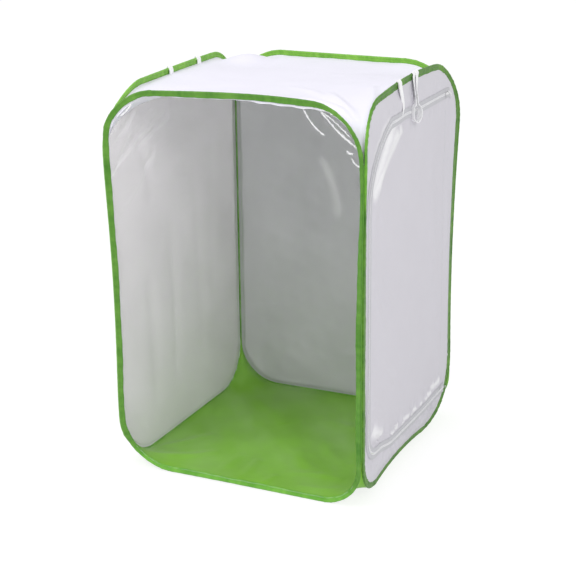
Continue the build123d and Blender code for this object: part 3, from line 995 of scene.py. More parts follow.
for name in WALLS:
    line = loop_line(name, 0.004)
    wire = tube(name + "_wire", round_section(name, line, np.full(len(line["run"]), WIRE_RADIUS), 10),
                line["run"], spring_steel)
    wall_piece(wire, name, "spring_wire", name + "_wire_loop")
    line = crimp_line(name)
    place = np.linspace(-1, 1, len(line["run"]))
    pressed = np.exp(-((np.abs(place) - 0.55) / 0.14) ** 2)
    radius = WIRE_RADIUS + CRIMP_WALL - PRESSED_DEPTH * pressed - END_ROUNDING * (np.abs(place) > 0.97)
    rings = round_section(name, line, radius, 14)
    crimp = tube(name + "_crimp", rings, line["run"], crimp_steel, closed=False)
    wall_piece(crimp, name, "crimp", name + "_wire_crimp")
print(len(WALLS), "wires, each with a crimp", CRIMP_LENGTH, "m long")

# %% [markdown]
# ## Binding tapes
# A folded tape of green satin goes round every loop. Its fold is the sleeve that holds the wire, and
# its two lips close on the wall's cloth. The section is a round sleeve that narrows to the lips. It is
# swept along the bowed line, then the gathers tree pleats it, and a row of stitches closes the lips.

# %% The folded tape
LIP = 0.00095  # from the wall's plane to the outside of a lip
SLEEVE_RADIUS = 0.0026
LIPS_START = 0.0056  # from a loop's outer edge to where the sleeve narrows to the lips
# How deep the gathers are on the straight and at the corners.
PLEATS = {"front": (0.0006, 0.0016), "right": (0.0006, 0.0016), "back": (0.0005, 0.0012),
          "left": (0.0005, 0.0014)}


def tape_section():
    """The folded tape's section: each point's depth in the sleeve, share of the lips and half thickness."""
    angles = np.radians([180, 150, 118, 86, 56])
    sleeve = [(SLEEVE_RADIUS + SLEEVE_RADIUS * cos(a), 0, SLEEVE_RADIUS * sin(a)) for a in angles]
    lips = [(LIPS_START, share, out) for share, out in
            ((0, 0.0012), (0.25, LIP), (0.5, LIP), (0.75, LIP), (0.93, LIP * 1.1), (1, LIP * 0.7))]
    half = sleeve + lips
    return np.array(half + [(depth, share, -out) for depth, share, out in half[:0:-1]])[::-1]


def binding(name):
    line = loop_line(name, 0.0025)
    section = tape_section()
    depth = section[:, 0] + section[:, 1] * (line["width"][:, None] - LIPS_START)
    rings = on_wall(name, *inside_line(line, depth), section[:, 2])
    whole = line["run"][-1] + line["run"][1]
    turn = line["run"] * 2 * pi / whole
    ring = np.stack([np.cos(turn), np.sin(turn), 0 * turn], 1) * whole / (2 * pi)
    count = len(section)
    facing = np.broadcast_to((*WALLS[name]["out"], 0), (len(turn) * count, 3))
    lip = np.broadcast_to(np.clip(section[:, 1] * 1.2 + 0.1 * (section[:, 0] > 0.004), 0, 1), depth.shape)
    piece = tube(name + "_binding", rings, line["run"], TAPES[name], ring=np.repeat(ring, count, 0),
                 facing=facing, corner=np.repeat(line["corner"], count), lip=lip.ravel())
    straight, corner = PLEATS[name]
    return run_tree(piece, gathers, Material=TAPES[name], Pleat_length=0.011, Depth_on_the_straight=straight,
                    Depth_at_the_corners=corner, Seed=2.0 + 3.0 * list(WALLS).index(name))


print("the folded tape's section has", len(tape_section()), "points")

# %% [markdown]
# ### The rows of stitches
# A row of thread closes each tape near its lips, on both faces of the wall. It is white on the outside
# of the front wall's foot, where the floor is sewn in. A texture would lie flat, and real stitches
# stand up and catch the light, so they are beads.

# %% Bindings and their stitches
SEWN_BEHIND = ("back", "left")  # these walls' cloth covers the inside of their tapes
BEHIND = 0.0019  # from the wall's plane to cloth that covers the tape's inside
STITCH_INSET = 0.0024  # from the lips' end to the stitches


def part_of(line, keep):
    return {key: values[keep] for key, values in line.items()}


def lip_stitches(name, side, part="", thread=green_thread):
    """The stitches near the lips' end, outside (side 1) or inside (side -1). part is foot, upper or all."""
    line = loop_line(name, 0.004)
    if part:
        turned = len(line["run"]) // 2 if part == "foot" else 0
        line = {key: np.roll(values, turned, axis=0) for key, values in line.items()}
        line = part_of(line, (line["up"] < 0.05) == (part == "foot"))
    along, up = inside_line(line, line["width"] - STITCH_INSET)
    face = BEHIND + 0.0004 if side < 0 and name in SEWN_BEHIND else LIP + 0.0001
    return bead_row(name + ("_outer" if side > 0 else "_inner") + "_stitches" + (part and "_" + part),
                    on_wall(name, along, up, side * face), np.array((*WALLS[name]["out"], 0)) * side,
                    thread, closed=not part, Pitch=0.0042, Size=(0.0034, 0.0007, 0.0006), Unevenness=0.06,
                    Seed=3)


for name in WALLS:
    piece = wall_piece(binding(name), name, "green_binding", name + "_edge_binding")
    rows = [lip_stitches(name, -1)]
    if name == "front":  # a white thread closes the tape at the foot, where the floor is sewn in
        rows += [lip_stitches(name, 1, "foot", white_thread), lip_stitches(name, 1, "upper")]
    else:
        rows.append(lip_stitches(name, 1))
    for row in rows:
        wall_piece(row, name, "green_binding")
    stitches = len(rows[0].data.polygons) // 24
    print(piece.name, len(piece.data.polygons), "faces and", stitches, "stitches a side")

# %% [markdown]
# ## Cloth that fills a loop
# Three walls are one sheet each. Their pattern is the loop's rounded outline. The window's edge ends
# inside its tape's lips, and the two mesh sheets cover the inside of their tapes. Tension leaves long
# soft folds that run from the corners and from wherever the cloth is caught. They are given one by one,
# and a little random rumple goes over them.

# %% Folds and rumples
WAVES, WAVES_TOGETHER = 7, 4.5  # in one rumple, and how high they stand together


def rumple(x, y, size, seed):
    """Soft random waves of about that size, from -1 to 1."""
    chance = np.random.default_rng(seed)
    total = 0
    for _ in range(WAVES):
        turn, phase, stretch = chance.uniform(0, pi), chance.uniform(0, 2 * pi), chance.uniform(0.7, 1.5)
        total = total + np.sin(2 * pi * (x * cos(turn) + y * sin(turn)) * stretch / size + phase)
    return total / WAVES_TOGETHER


def folds(x, y, lines):
    """Ridges: each is a start, an end, a sideways bow, a half width and a height."""
    total = np.zeros_like(x)
    for (x0, y0), (x1, y1), bow, width, tall in lines:
        run_x, run_y = x1 - x0, y1 - y0
        length = np.hypot(run_x, run_y)
        share = ((x - x0) * run_x + (y - y0) * run_y) / length**2
        held = np.clip(share, 0, 1)
        side = ((x - x0) * run_y - (y - y0) * run_x) / length - 4 * bow * held * (1 - held)
        away = np.hypot(side, (share - held) * length)
        total += tall * np.exp(-(away / width) ** 2) * np.sqrt(np.clip(4 * held * (1 - held), 0, 1))
    return total


print("rumples are", WAVES, "waves each, and folds are set by hand")

# %% [markdown]
# ### A sheet that fits its loop
# A rounded sheet could be cut out of a square one, but that leaves ragged cells at its edge. Here each
# row is as wide as the loop is at its height. The relief fades out near the edge, where the tape holds
# the cloth flat.

# %% A wall's sheet
TUCK = 0.0062  # from a loop's outer edge to the sheet's own edge, inside the lips
FLAT_EDGE, EASE_IN = 0.008, 0.045  # the relief is nought, and then rises, inside a sheet's edge
BEHIND_TUCK, BEHIND_DROP = 0.0034, 0.0078  # cloth that covers the tape reaches further out, and hangs lower
sheet_high = HEIGHT - 2 * TUCK


def smooth(value, start, end):
    share = np.clip((value - start) / (end - start), 0, 1)
    return share * share * (3 - 2 * share)


def edge_reach(up, low_radius, high_radius):
    """How far a sheet's edge is from its middle line, at a height above the sheet's own foot."""
    reach = HALF - TUCK + 0 * up
    for radius, beyond in ((low_radius, low_radius - up), (high_radius, up - sheet_high + high_radius)):
        beyond = np.clip(beyond, 0, radius)
        reach -= radius - np.sqrt(radius**2 - beyond**2)
    return reach


def panel(name, title, material, cell, relief, thickness=0.0005):
    """One wall's sheet, with relief(along, up) saying how far it stands out."""
    radii = np.array(WALLS[name]["corners"]) - TUCK
    low_bend, high_bend = max(radii[0], radii[3]), max(radii[1], radii[2])
    arc = np.linspace(0, pi / 2, int(low_bend * 1.6 / cell))
    straight = np.arange(low_bend + cell, sheet_high - high_bend, cell)
    up = np.concatenate([low_bend * (1 - np.cos(arc)), straight,
                         sheet_high - high_bend * (1 - np.cos(arc[::-1]))])
    reach = [edge_reach(up, radii[0], radii[1]), edge_reach(up, radii[3], radii[2])]
    share = np.linspace(0, 1, int(2 * HALF / cell))
    along = -reach[1][:, None] * (1 - share) + reach[0][:, None] * share
    up = np.broadcast_to(up[:, None], along.shape)
    margin = np.minimum(np.minimum(reach[0][:, None] - along, reach[1][:, None] + along),
                        np.minimum(up, sheet_high - up))
    up = up + TUCK
    if name in SEWN_BEHIND:
        along = along * (HALF - BEHIND_TUCK) / (HALF - TUCK)
        up = up - BEHIND_DROP * smooth(up, HEIGHT - 0.15, HEIGHT - 0.02)
    ease = np.clip((margin - FLAT_EDGE) / EASE_IN, 0, 1)
    out = relief(along, up) * ease * ease * (3 - 2 * ease)
    if name in SEWN_BEHIND:
        out -= BEHIND + 0.0005 * (margin < 0.002)
    piece = shell(title, on_wall(name, along, up, out), np.stack([along, up], -1), thickness, material)
    return piece


print("a wall's sheet is", round(sheet_high, 3), "m high")

# %% [markdown]
# ### The clear window
# The window is plastic film. It lies flatter than cloth, and where it has been folded it keeps fine
# white creases, which the film's material draws, partly as painted reflections. Its shape has slow
# waves and a low ridge at each crease.

# %% The window
def window_relief(along, up):
    waves = 0.0018 * rumple(along, up, 0.34, 4) + 0.0007 * rumple(along, up, 0.09, 5)
    lines = [(start, end, bow, 0.010, 0.0022) for start, end, bow, _ in WINDOW_CREASES]
    return waves + folds(along, up, lines)


window = panel("front", "clear_window", film, 0.0075, window_relief)
wall_piece(window, "front", "clear_film", "front_clear_window")
print(window.name, len(window.data.polygons), "faces")

# %% [markdown]
# ### The mesh walls
# The left wall hangs in long upright pleats, and a fan of short folds leaves its front upper corner.
# The back wall is nearly flat. Both are set a little slack, so that light grazing them shows the folds.

# %% The left and back walls
LEFT_FOLDS = [  # on the left wall, along runs from the back to the front
    ((0.240, 0.850), (0.289, 0.788), 0.004, 0.007, 0.0036),
    ((0.182, 0.850), (0.262, 0.776), 0.006, 0.008, 0.0040),
    ((0.105, 0.818), (0.266, 0.712), -0.008, 0.009, 0.0042),
    ((0.040, 0.805), (0.196, 0.738), -0.006, 0.010, 0.0036),
    ((0.120, 0.730), (0.165, 0.690), 0.004, 0.008, 0.0030),
    ((0.200, 0.820), (0.140, 0.600), 0.010, 0.016, 0.0026),
    ((0.060, 0.560), (0.052, 0.120), 0.010, 0.020, 0.0026),
    ((-0.060, 0.640), (-0.085, 0.160), 0.008, 0.024, 0.0022),
    ((-0.170, 0.720), (-0.150, 0.260), -0.010, 0.022, 0.0018),
    ((0.168, 0.460), (0.150, 0.090), 0.008, 0.022, 0.0030),
    ((0.285, 0.110), (0.200, 0.045), 0.010, 0.010, 0.0026),
]


def left_relief(along, up):
    return folds(along, up, LEFT_FOLDS) + 0.0009 * rumple(along, up * 0.4, 0.15, 8)


def back_relief(along, up):
    return 0.0022 * rumple(along, up * 0.5, 0.22, 12) + 0.0008 * rumple(along, up, 0.06, 13)


left_wall = panel("left", "left_mesh_wall", side_mesh, 0.0075, left_relief)
wall_piece(left_wall, "left", "side_mesh", "left_mesh_panel")
back_wall = panel("back", "back_mesh_wall", back_mesh, 0.0085, back_relief)
wall_piece(back_wall, "back", "back_mesh", "back_mesh_panel")
print(left_wall.name, "and", back_wall.name, "made")

# %% [markdown]
# ## Roof and floor
# The roof is one square of white cloth, sewn to the four loops. Its corners turn down between the
# rounded corners of two neighbouring loops. Such a cloth takes the shape of a stretched membrane: each
# point lies at the mean of its neighbours. That is solved exactly here with the wave modes of a grid.
# The floor is the same, upside down, but the ground holds it, so its height dies away from its rim.

# %% A membrane stretched over its rim
def stretched(rim, ground_pull=0.0):
    """Fills a grid of one value from its rim. ground_pull is how quickly the value fades towards nought."""
    def modes(count):
        return np.linalg.eigh(2 * np.eye(count) - np.eye(count, k=1) - np.eye(count, k=-1))

    (row_values, row_modes), (column_values, column_modes) = (modes(count - 2) for count in rim.shape)
    pull = np.zeros_like(rim[1:-1, 1:-1])
    pull[0] += rim[0, 1:-1]
    pull[-1] += rim[-1, 1:-1]
    pull[:, 0] += rim[1:-1, 0]
    pull[:, -1] += rim[1:-1, -1]
    strength = row_values[:, None] + column_values[None, :] + ground_pull
    filled = rim.copy()
    filled[1:-1, 1:-1] = row_modes @ ((row_modes.T @ pull @ column_modes) / strength) @ column_modes.T
    return filled


print("a membrane over a level rim is level:", np.ptp(stretched(np.ones((9, 9)))).round(9), "m")

# %% [markdown]
# ### Where the roof and the floor are sewn
# Their rims follow the four tapes and turn down, or up, at the corners, to where two loops' outlines
# meet. The rims are taken from the same loop lines as the tapes, so they can't miss them.

# %% The rim along four loops
CUT_SHARE = 1.12  # of the two loops' mean radius
ROOF_DEPTH, ROOF_DEPTH_BEHIND, FLOOR_DEPTH = 0.0018, 0.0026, 0.0028  # inside a wall's plane


def corner_cut(name, corner):
    """How far from the tent's foot or top the cloth reaches at a corner, to the next loop's edge."""
    names = list(WALLS)
    side = 1 if corner in (0, 1) else -1
    beside_it = names[(names.index(name) + side) % 4]
    return CUT_SHARE * (WALLS[name]["corners"][corner] + WALLS[beside_it]["corners"][3 - corner]) / 2


def loop_edge(name, upper, count):
    """The line where the roof or the floor is sewn to a loop, from the -along corner to the +along one."""
    line = loop_line(name, 0.001)
    along, up = inside_line(line, line["width"] - 0.002 if upper else np.full_like(line["width"], 0.0015))
    if upper:
        keep = up > HEIGHT - np.where(along > 0, corner_cut(name, 1), corner_cut(name, 2))
        along, up = along[keep][::-1], up[keep][::-1]
    else:
        start = np.argmin(np.where(along < 0, abs(up - corner_cut(name, 3)), 9))
        along, up = np.roll(along, -start), np.roll(up, -start)
        keep = up < np.where(along > 0, corner_cut(name, 0), corner_cut(name, 3))
        along, up = along[keep], up[keep]
    places, _ = even_steps(np.stack([along, up], 1), 0.001, closed=False)
    chosen = np.linspace(0, len(places) - 1, count)
    along, up = (np.interp(chosen, np.arange(len(places)), column) for column in places.T)
    roof_depth = ROOF_DEPTH_BEHIND if name in SEWN_BEHIND else ROOF_DEPTH
    return on_wall(name, along, up, -roof_depth if upper else -FLOOR_DEPTH)


def four_edges(upper, count):
    """The rim of the roof or the floor: a grid of room places, nought inside."""
    rim = np.zeros((count, count, 3))
    rim[0] = loop_edge("front", upper, count)
    rim[-1] = loop_edge("back", upper, count)[::-1]
    sides = {0: loop_edge("left", upper, count)[::-1], -1: loop_edge("right", upper, count)}
    for column, edge in sides.items():
        ends = rim[0, column].copy(), rim[-1, column].copy()
        rim[:, column] = edge
        rim[0, column], rim[-1, column] = (ends[0] + edge[0]) / 2, (ends[1] + edge[-1]) / 2
    return rim


print("the roof meets the front right corner", round(corner_cut("front", 1), 3), "m below the top")

# %% [markdown]
# ### The flat pattern of a stretched sheet
# A weave has to keep its size where the cloth turns down. Distances along the rows and the columns give
# that, and they also say how large a piece the sheet is cut from.

# %% Flat pattern and size
RIM_EASE = 0.06  # of the sheet's width


def surface_pattern(points):
    """A flat pattern for a sheet: how far each point is along its row and its column, from the middle."""
    across = np.cumsum(np.linalg.norm(np.diff(points, axis=1, prepend=points[:, :1]), axis=-1), 1)
    down = np.cumsum(np.linalg.norm(np.diff(points, axis=0, prepend=points[:1]), axis=-1), 0)
    middle = points.shape[0] // 2, points.shape[1] // 2
    return np.stack([across - across[:, middle[1]:middle[1] + 1], down - down[middle[0]:middle[0] + 1]], -1)


def rim_margin(count):
    place = np.minimum(np.arange(count), np.arange(count)[::-1])
    margin = np.minimum(place[:, None], place[None, :]) / (count - 1)
    ease = np.clip(margin / RIM_EASE, 0, 1)
    return ease * ease * (3 - 2 * ease)


print("folds are full", RIM_EASE, "of a sheet's width inside its rim")

# %% [markdown]
# ### The roof
# Folds fan out from the front right corner, where the film and the roof are sewn into one tape, and the
# cloth sags a few millimetres between its edges.

# %% The roof
ROOF_CELLS = 121
ROOF_FOLDS = [
    ((0.282, -0.278), (0.110, -0.190), 0.010, 0.009, 0.0075),
    ((0.284, -0.262), (0.140, -0.110), -0.008, 0.010, 0.0085),
    ((0.288, -0.235), (0.215, -0.040), 0.006, 0.009, 0.0070),
    ((0.262, -0.288), (-0.020, -0.235), 0.004, 0.008, 0.0050),
    ((0.240, -0.245), (0.020, -0.060), 0.012, 0.011, 0.0042),
    ((-0.270, -0.270), (-0.120, -0.170), 0.006, 0.014, 0.0026),
    ((-0.120, -0.280), (-0.040, -0.120), 0.004, 0.016, 0.0022),
    ((0.040, 0.120), (0.240, 0.200), 0.010, 0.022, 0.0024),
]
ROOF_EAR = 0.036  # how far the cloth puffs up over the back left corner
EAR_PLACE, EAR_WIDTH, SAG = (-0.235, 0.240), 0.050, 0.004
rim = four_edges(True, ROOF_CELLS)
roof = np.stack([stretched(rim[..., axis]) for axis in range(3)], -1)
sag = SAG * np.sin(pi * np.linspace(0, 1, ROOF_CELLS))
roof[..., 2] -= np.minimum.outer(sag, sag)
relief = folds(roof[..., 0], roof[..., 1], ROOF_FOLDS) + 0.0011 * rumple(roof[..., 0], roof[..., 1], 0.14, 21)
roof += grid_normals(roof) * (relief * rim_margin(ROOF_CELLS))[..., None]
ear = np.exp(-((roof[..., 0] - EAR_PLACE[0]) ** 2 + (roof[..., 1] - EAR_PLACE[1]) ** 2) / EAR_WIDTH**2)
roof[..., 2] += ROOF_EAR * ear * rim_margin(ROOF_CELLS)
roof_piece = shell("roof", roof, surface_pattern(roof), 0.0006, roof_cloth)
wall_piece(roof_piece, "front", "white_roof", "roof_panel")
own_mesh(roof_piece)
print("roof top", round(roof[..., 2].max(), 3), "m")

# %% [markdown]
# ### The floor
# The floor is a heavier green cloth. Its corners climb between the loops, soft folds cross it near the
# corners, and the rest lies flat on the ground.

# %% The floor
FLOOR_CELLS, GROUND_PULL = 121, 0.012
FLOOR_FOLDS = [
    ((0.040, -0.060), (0.130, -0.160), 0.012, 0.016, 0.0026),
    ((0.080, 0.020), (0.190, -0.110), 0.016, 0.018, 0.0030),
    ((0.060, -0.200), (0.210, -0.185), -0.014, 0.015, 0.0026),
    ((0.120, -0.250), (0.230, -0.235), 0.006, 0.011, 0.0022),
    ((-0.020, -0.285), (-0.026, -0.150), 0.004, 0.011, 0.0030),
    ((0.045, -0.285), (0.055, -0.215), -0.003, 0.010, 0.0026),
    ((-0.075, -0.285), (-0.070, -0.140), -0.005, 0.012, 0.0022),
    ((-0.265, -0.262), (-0.130, -0.150), 0.008, 0.014, 0.0040),
    ((-0.280, -0.200), (-0.190, -0.060), 0.006, 0.014, 0.0032),
    ((0.200, 0.060), (0.020, 0.120), 0.012, 0.020, 0.0032),
    ((-0.060, 0.060), (-0.200, 0.180), 0.010, 0.020, 0.0030),
]
rim = four_edges(False, FLOOR_CELLS)
floor = np.stack([stretched(rim[..., 0]), stretched(rim[..., 1]), stretched(rim[..., 2], GROUND_PULL)], -1)
relief = folds(floor[..., 0], floor[..., 1], FLOOR_FOLDS)
relief += 0.0011 * (1 + rumple(floor[..., 0], floor[..., 1], 0.13, 31))
floor[..., 2] += relief * rim_margin(FLOOR_CELLS)
floor[..., 2] = np.maximum(floor[..., 2], 0.0006)
floor_piece = shell("floor", floor, surface_pattern(floor), 0.0008, floor_cloth)
wall_piece(floor_piece, "front", "green_floor", "floor_panel")
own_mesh(floor_piece)
print("floor corners reach", round(floor[..., 2].max(), 3), "m")

# %% [markdown]
# ## The zip's line
# The right wall opens. A zip runs from the upper back corner forward along the top, down the front and
# back along the foot, and the cloth inside it is the door, which is hinged on its back edge. Door,
# surround, tapes and teeth all follow one line, so the line is made once. It sways a little, because
# the cloth was sewn flat and then stretched, but it stays nearly level along the slider's run.

# %% The zip's line on the right wall
slider_low, slider_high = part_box("zip_slider")
ZIP_TOP = (slider_low.z + slider_high.z) / 2
ZIP_FOOT, ZIP_FRONT = 0.091, -0.259
UPPER_CORNER, LOWER_CORNER = 0.175, 0.060
TOP_END, FOOT_END = 0.254, 0.236
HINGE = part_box("door_panel")[1].y
CLOTH_GAP = 0.003  # from the zip's line to the cloth's edge on each side


def zip_line(step):
    """Flat places (back and up) from the upper tail to the lower one, the heading and the run."""
    line = [(TOP_END, ZIP_TOP, pi)]
    corners = [(ZIP_FRONT + UPPER_CORNER, ZIP_TOP - UPPER_CORNER, UPPER_CORNER, pi / 2),
               (ZIP_FRONT + LOWER_CORNER, ZIP_FOOT + LOWER_CORNER, LOWER_CORNER, pi)]
    for back, up, radius, first in corners:
        for angle in first + np.linspace(0, pi / 2, ARC_POINTS):
            line.append((back + radius * cos(angle), up + radius * sin(angle), angle + pi / 2))
    line.append((FOOT_END, ZIP_FOOT, 2 * pi))
    points, run = even_steps(np.array(line), step, closed=False)
    return dict(back=points[:, 0], up=points[:, 1], heading=points[:, 2], run=run)


def beside(line, aside):
    """Flat places beside the zip's line, on the door's side where aside is positive."""
    back = line["back"][:, None] + np.cos(line["heading"] + pi / 2)[:, None] * aside
    up = line["up"][:, None] + np.sin(line["heading"] + pi / 2)[:, None] * aside
    return back, up


whole_zip = zip_line(0.002)
print("the zip's line is", round(whole_zip["run"][-1], 2), "m long")

# %% [markdown]
# ### The cloth beside the zip
# A zip is stiffer than cloth and draws it up in small waves. The waves follow the zip's run, the long
# folds are listed, and both fade out under the zip's tapes, which lie flat. A cloth simulation
# would find such waves too, but not the same ones each time.

# %% The right wall's relief
def pucker(run, aside):
    """How far the cloth stands out beside the zip."""
    whole = whole_zip["run"][-1]
    depth = np.interp(run / whole, [0, 0.20, 0.36, 0.66, 0.74, 1],
                      [0.0014, 0.0014, 0.0012, 0.0010, 0.0042, 0.0042])
    wave = np.sin(2 * pi * run / 0.031 + 1.7 * np.sin(2 * pi * run / 0.12))
    beside_it = smooth(aside, 0.010, 0.021) * np.exp(-((np.maximum(aside - 0.021, 0) / 0.020) ** 2))
    return depth * wave * beside_it


RIGHT_FOLDS = [
    ((-0.245, 0.560), (-0.110, 0.415), 0.010, 0.012, 0.0036),
    ((-0.240, 0.520), (-0.150, 0.360), 0.008, 0.012, 0.0034),
    ((-0.250, 0.380), (-0.105, 0.235), 0.008, 0.012, 0.0034),
    ((-0.240, 0.230), (-0.165, 0.170), 0.004, 0.010, 0.0030),
    ((-0.205, 0.690), (-0.150, 0.560), -0.006, 0.014, 0.0026),
    ((0.235, 0.640), (0.242, 0.240), 0.004, 0.012, 0.0028),
    ((0.120, 0.720), (0.180, 0.300), 0.010, 0.026, 0.0030),
    ((-0.070, 0.812), (-0.205, 0.700), 0.030, 0.014, 0.0060),
    ((-0.200, 0.720), (-0.232, 0.580), 0.006, 0.013, 0.0040),
    ((-0.220, 0.165), (-0.170, 0.130), 0.008, 0.015, 0.0060),
    ((-0.262, 0.230), (-0.252, 0.130), 0.006, 0.010, 0.0040),
]


def door_wall(back, up, extra=0.0):
    """Room places on the right wall inside its tape, with the sway, the puckers and the folds."""
    shape, back, up = np.shape(back), np.ravel(back), np.ravel(up)
    gap = (back[:, None] - whole_zip["back"][::3]) ** 2 + (up[:, None] - whole_zip["up"][::3]) ** 2
    nearest = 3 * np.argmin(gap, 1)
    aside = np.sqrt(gap.min(1))
    out = pucker(whole_zip["run"][nearest], aside)
    out += folds(back, up, RIGHT_FOLDS) * smooth(aside, 0.010, 0.022)
    out += 0.0014 * rumple(back, up * 0.6, 0.20, 41) * smooth(aside, 0.009, 0.035)
    edge = np.minimum(HALF - TUCK - abs(back), np.minimum(up - TUCK, HEIGHT - TUCK - up))
    out *= smooth(edge, 0.006, 0.035)
    bend = np.clip(ZIP_FRONT + UPPER_CORNER - back, 0, 0.046)  # level to the slider's last place
    top_sway = (UPPER_CORNER - np.sqrt(UPPER_CORNER**2 - bend**2)) * (1 - smooth(-back, 0.13, 0.21))
    top_sway += 0.003 * np.exp(-(((back + 0.045) / 0.036) ** 2)) - 0.016 * smooth(back, 0.228, 0.262)
    foot_sway = 0.013 * np.exp(-(((back + 0.195) / 0.05) ** 2)) + 0.005 * smooth(back, 0.08, 0.23) - 0.001
    up = up + top_sway * smooth(up, 0.60, 0.84) + foot_sway * smooth(-up, -0.30, -0.09)
    return np.stack([PLANE + out + extra, back, up], -1).reshape(*shape, 3)


print("the door is hinged at y =", round(HINGE, 3), "m, and", len(RIGHT_FOLDS), "folds cross the wall")

# %% [markdown]
# ### The door
# The door is a sheet like the other walls, with its back edge straight along the hinge. Its front
# corners are rounded, the upper one widely, because a zip can't turn a sharp corner.

# %% The door
def door_sheet(cell=0.0065):
    upper, lower = UPPER_CORNER - CLOTH_GAP, LOWER_CORNER - CLOTH_GAP
    low_arc = np.linspace(0, pi / 2, int(lower * 1.6 / cell) + 4)
    high_arc = np.linspace(pi / 2, 0, int(upper * 1.6 / cell))
    foot, top = ZIP_FOOT + CLOTH_GAP, ZIP_TOP - CLOTH_GAP
    straight = np.arange(foot + lower + cell, top - upper, cell)
    rows_up = np.concatenate([foot + lower * (1 - np.cos(low_arc)), straight,
                              top - upper * (1 - np.cos(high_arc))])
    front = ZIP_FRONT + CLOTH_GAP + np.concatenate(
        [lower * (1 - np.sin(low_arc)), 0 * straight, upper * (1 - np.sin(high_arc))])
    across = np.linspace(0, 1, int((HINGE - ZIP_FRONT) / cell))
    back = front[:, None] + np.multiply.outer(HINGE - 0.0006 - front, across)
    up = np.broadcast_to(rows_up[:, None], back.shape)
    piece = shell("door", door_wall(back, up), np.stack([back, up], -1), 0.0006, panel_cloth)
    return piece


door = wall_piece(door_sheet(), "door", "white_cloth", "door_panel")
print(door.name, len(door.data.polygons), "faces")

# %% [markdown]
# ### The surround
# Round the door a ring of the same cloth fills the loop. A ring is a grid too, with its rows going
# round: each row runs from the loop's tape inwards to the zip or to the hinge. The four corners of the
# outside and of the inside are matched, so that no row crosses the ring aslant.

# %% The ring's two edges
def marked_steps(line, marks, counts):
    """Points on a closed line: that many even steps from each marked point to the next."""
    line = np.concatenate([line, line[:1]])
    run = np.concatenate([[0], np.cumsum(np.linalg.norm(np.diff(line, axis=0), axis=1))])
    at = [run[np.argmin(np.linalg.norm(line[:-1] - mark, axis=1))] for mark in marks]
    places = []
    for start, end, count in zip(at, at[1:] + at[:1], counts):
        end = end if end > start else end + run[-1]
        places.append(start + (end - start) * np.arange(count) / count)
    places = np.concatenate(places) % run[-1]
    return np.stack([np.interp(places, run, column) for column in line.T], 1)


def outer_edge(counts):
    """The surround's edge inside the loop's tape, as flat places."""
    loop = loop_line("right", 0.002, TUCK)
    cut = [TUCK + (radius - TUCK) * (1 - cos(pi / 4)) for radius in WALLS["right"]["corners"]]
    return marked_steps(np.stack([loop["along"], loop["up"]], 1), [
        (HALF - cut[0], cut[0]), (HALF - cut[1], HEIGHT - cut[1]),
        (cut[2] - HALF, HEIGHT - cut[2]), (cut[3] - HALF, cut[3]),
    ], counts)


def inner_edge(counts):
    """The surround's edge along the hinge and the zip, as flat places."""
    line = zip_line(0.002)
    on_door = line["back"] < HINGE
    back, up = (values[on_door][::-1, 0] for values in beside(line, np.array([-CLOTH_GAP])))
    corners = [(HINGE, up[0]), (HINGE, up[-1])]
    hinge_up = np.linspace(up[0], up[-1], 300)[1:-1]
    path = np.concatenate([[corners[0]], np.stack([0 * hinge_up + HINGE, hinge_up], 1), [corners[1]],
                           np.stack([back, up], 1)[::-1]])
    high = (ZIP_FRONT + UPPER_CORNER * (1 - cos(pi / 4)), ZIP_TOP - UPPER_CORNER * (1 - cos(pi / 4)))
    low = (ZIP_FRONT + LOWER_CORNER * (1 - cos(pi / 4)), ZIP_FOOT + LOWER_CORNER * (1 - cos(pi / 4)))
    return marked_steps(path, [corners[0], corners[1], high, low], counts)


RING_CELLS = (130, 90, 130, 90)  # along the back, the top, the front and the foot
outer, inner = outer_edge(RING_CELLS), inner_edge(RING_CELLS)
print("the ring is", len(outer), "cells round")

# %% [markdown]
# ### Filling the ring
# Rows of points lie between the two edges. Near the loop they follow its bow and near the zip the
# door's own relief, and the one turns smoothly into the other, so that nothing parts at the zip.

# %% The surround
def surround_sheet(rows=13):
    share = np.linspace(0, 1, rows)[None, :, None]
    rim = on_wall("right", outer[:, 0], outer[:, 1])[:, None]
    edge = door_wall(inner[:, 0], inner[:, 1])[:, None]
    edge[..., 0] = PLANE
    flat = outer[:, None] * (1 - share) + inner[:, None] * share
    level = rim * (1 - share) + edge * share
    away = share * np.linalg.norm(inner - outer, axis=1)[:, None, None]
    held = smooth(away / np.minimum(0.040, away[:, -1:]), 0.25, 1.0)
    sleeve = on_wall("right", flat[..., 0], flat[..., 1])[..., :1]
    relief = door_wall(flat[..., 0], flat[..., 1])[..., :1] - PLANE
    free = smooth(away, 0.012, np.minimum(0.045, away[:, -1:] - 0.0001))
    level[..., :1] = sleeve * (1 - held) + PLANE * held + relief * free
    pattern = np.concatenate([flat, flat[:1]])
    piece = shell("surround", level, pattern, 0.0006, panel_cloth, round_rows=True)
    return piece


surround = wall_piece(surround_sheet(), "right", "white_cloth", "door_surround")
print(surround.name, len(surround.data.polygons), "faces")

# %% [markdown]
# ### The zip's tapes
# A coil zip is two tapes, each with a nylon coil sewn to its edge. The tapes are strips beside the
# line, and cloth is sewn to them. The tails beyond the hinge are sewn to the surround and never move
# with the door.

# %% The zip's tapes
TAPE_OUT = 0.0012  # from the wall's plane to the middle of a zip tape
TAPE_NEAR, TAPE_FAR = 0.0006, 0.0122  # its edges' distance from the zip's line
TEETH_PITCH = 0.0021
DOOR_END = HINGE - 0.0008  # the door's half of the zip ends just short of the hinge


def zip_tape(name, line, side):
    across = np.linspace(TAPE_NEAR, TAPE_FAR, 6) * side
    back, up = beside(line, across)
    return shell(name, door_wall(back, up, TAPE_OUT), np.stack([np.broadcast_to(across, back.shape),
                 np.broadcast_to(line["run"][:, None], back.shape)], -1), 0.0005, tape_cloth)


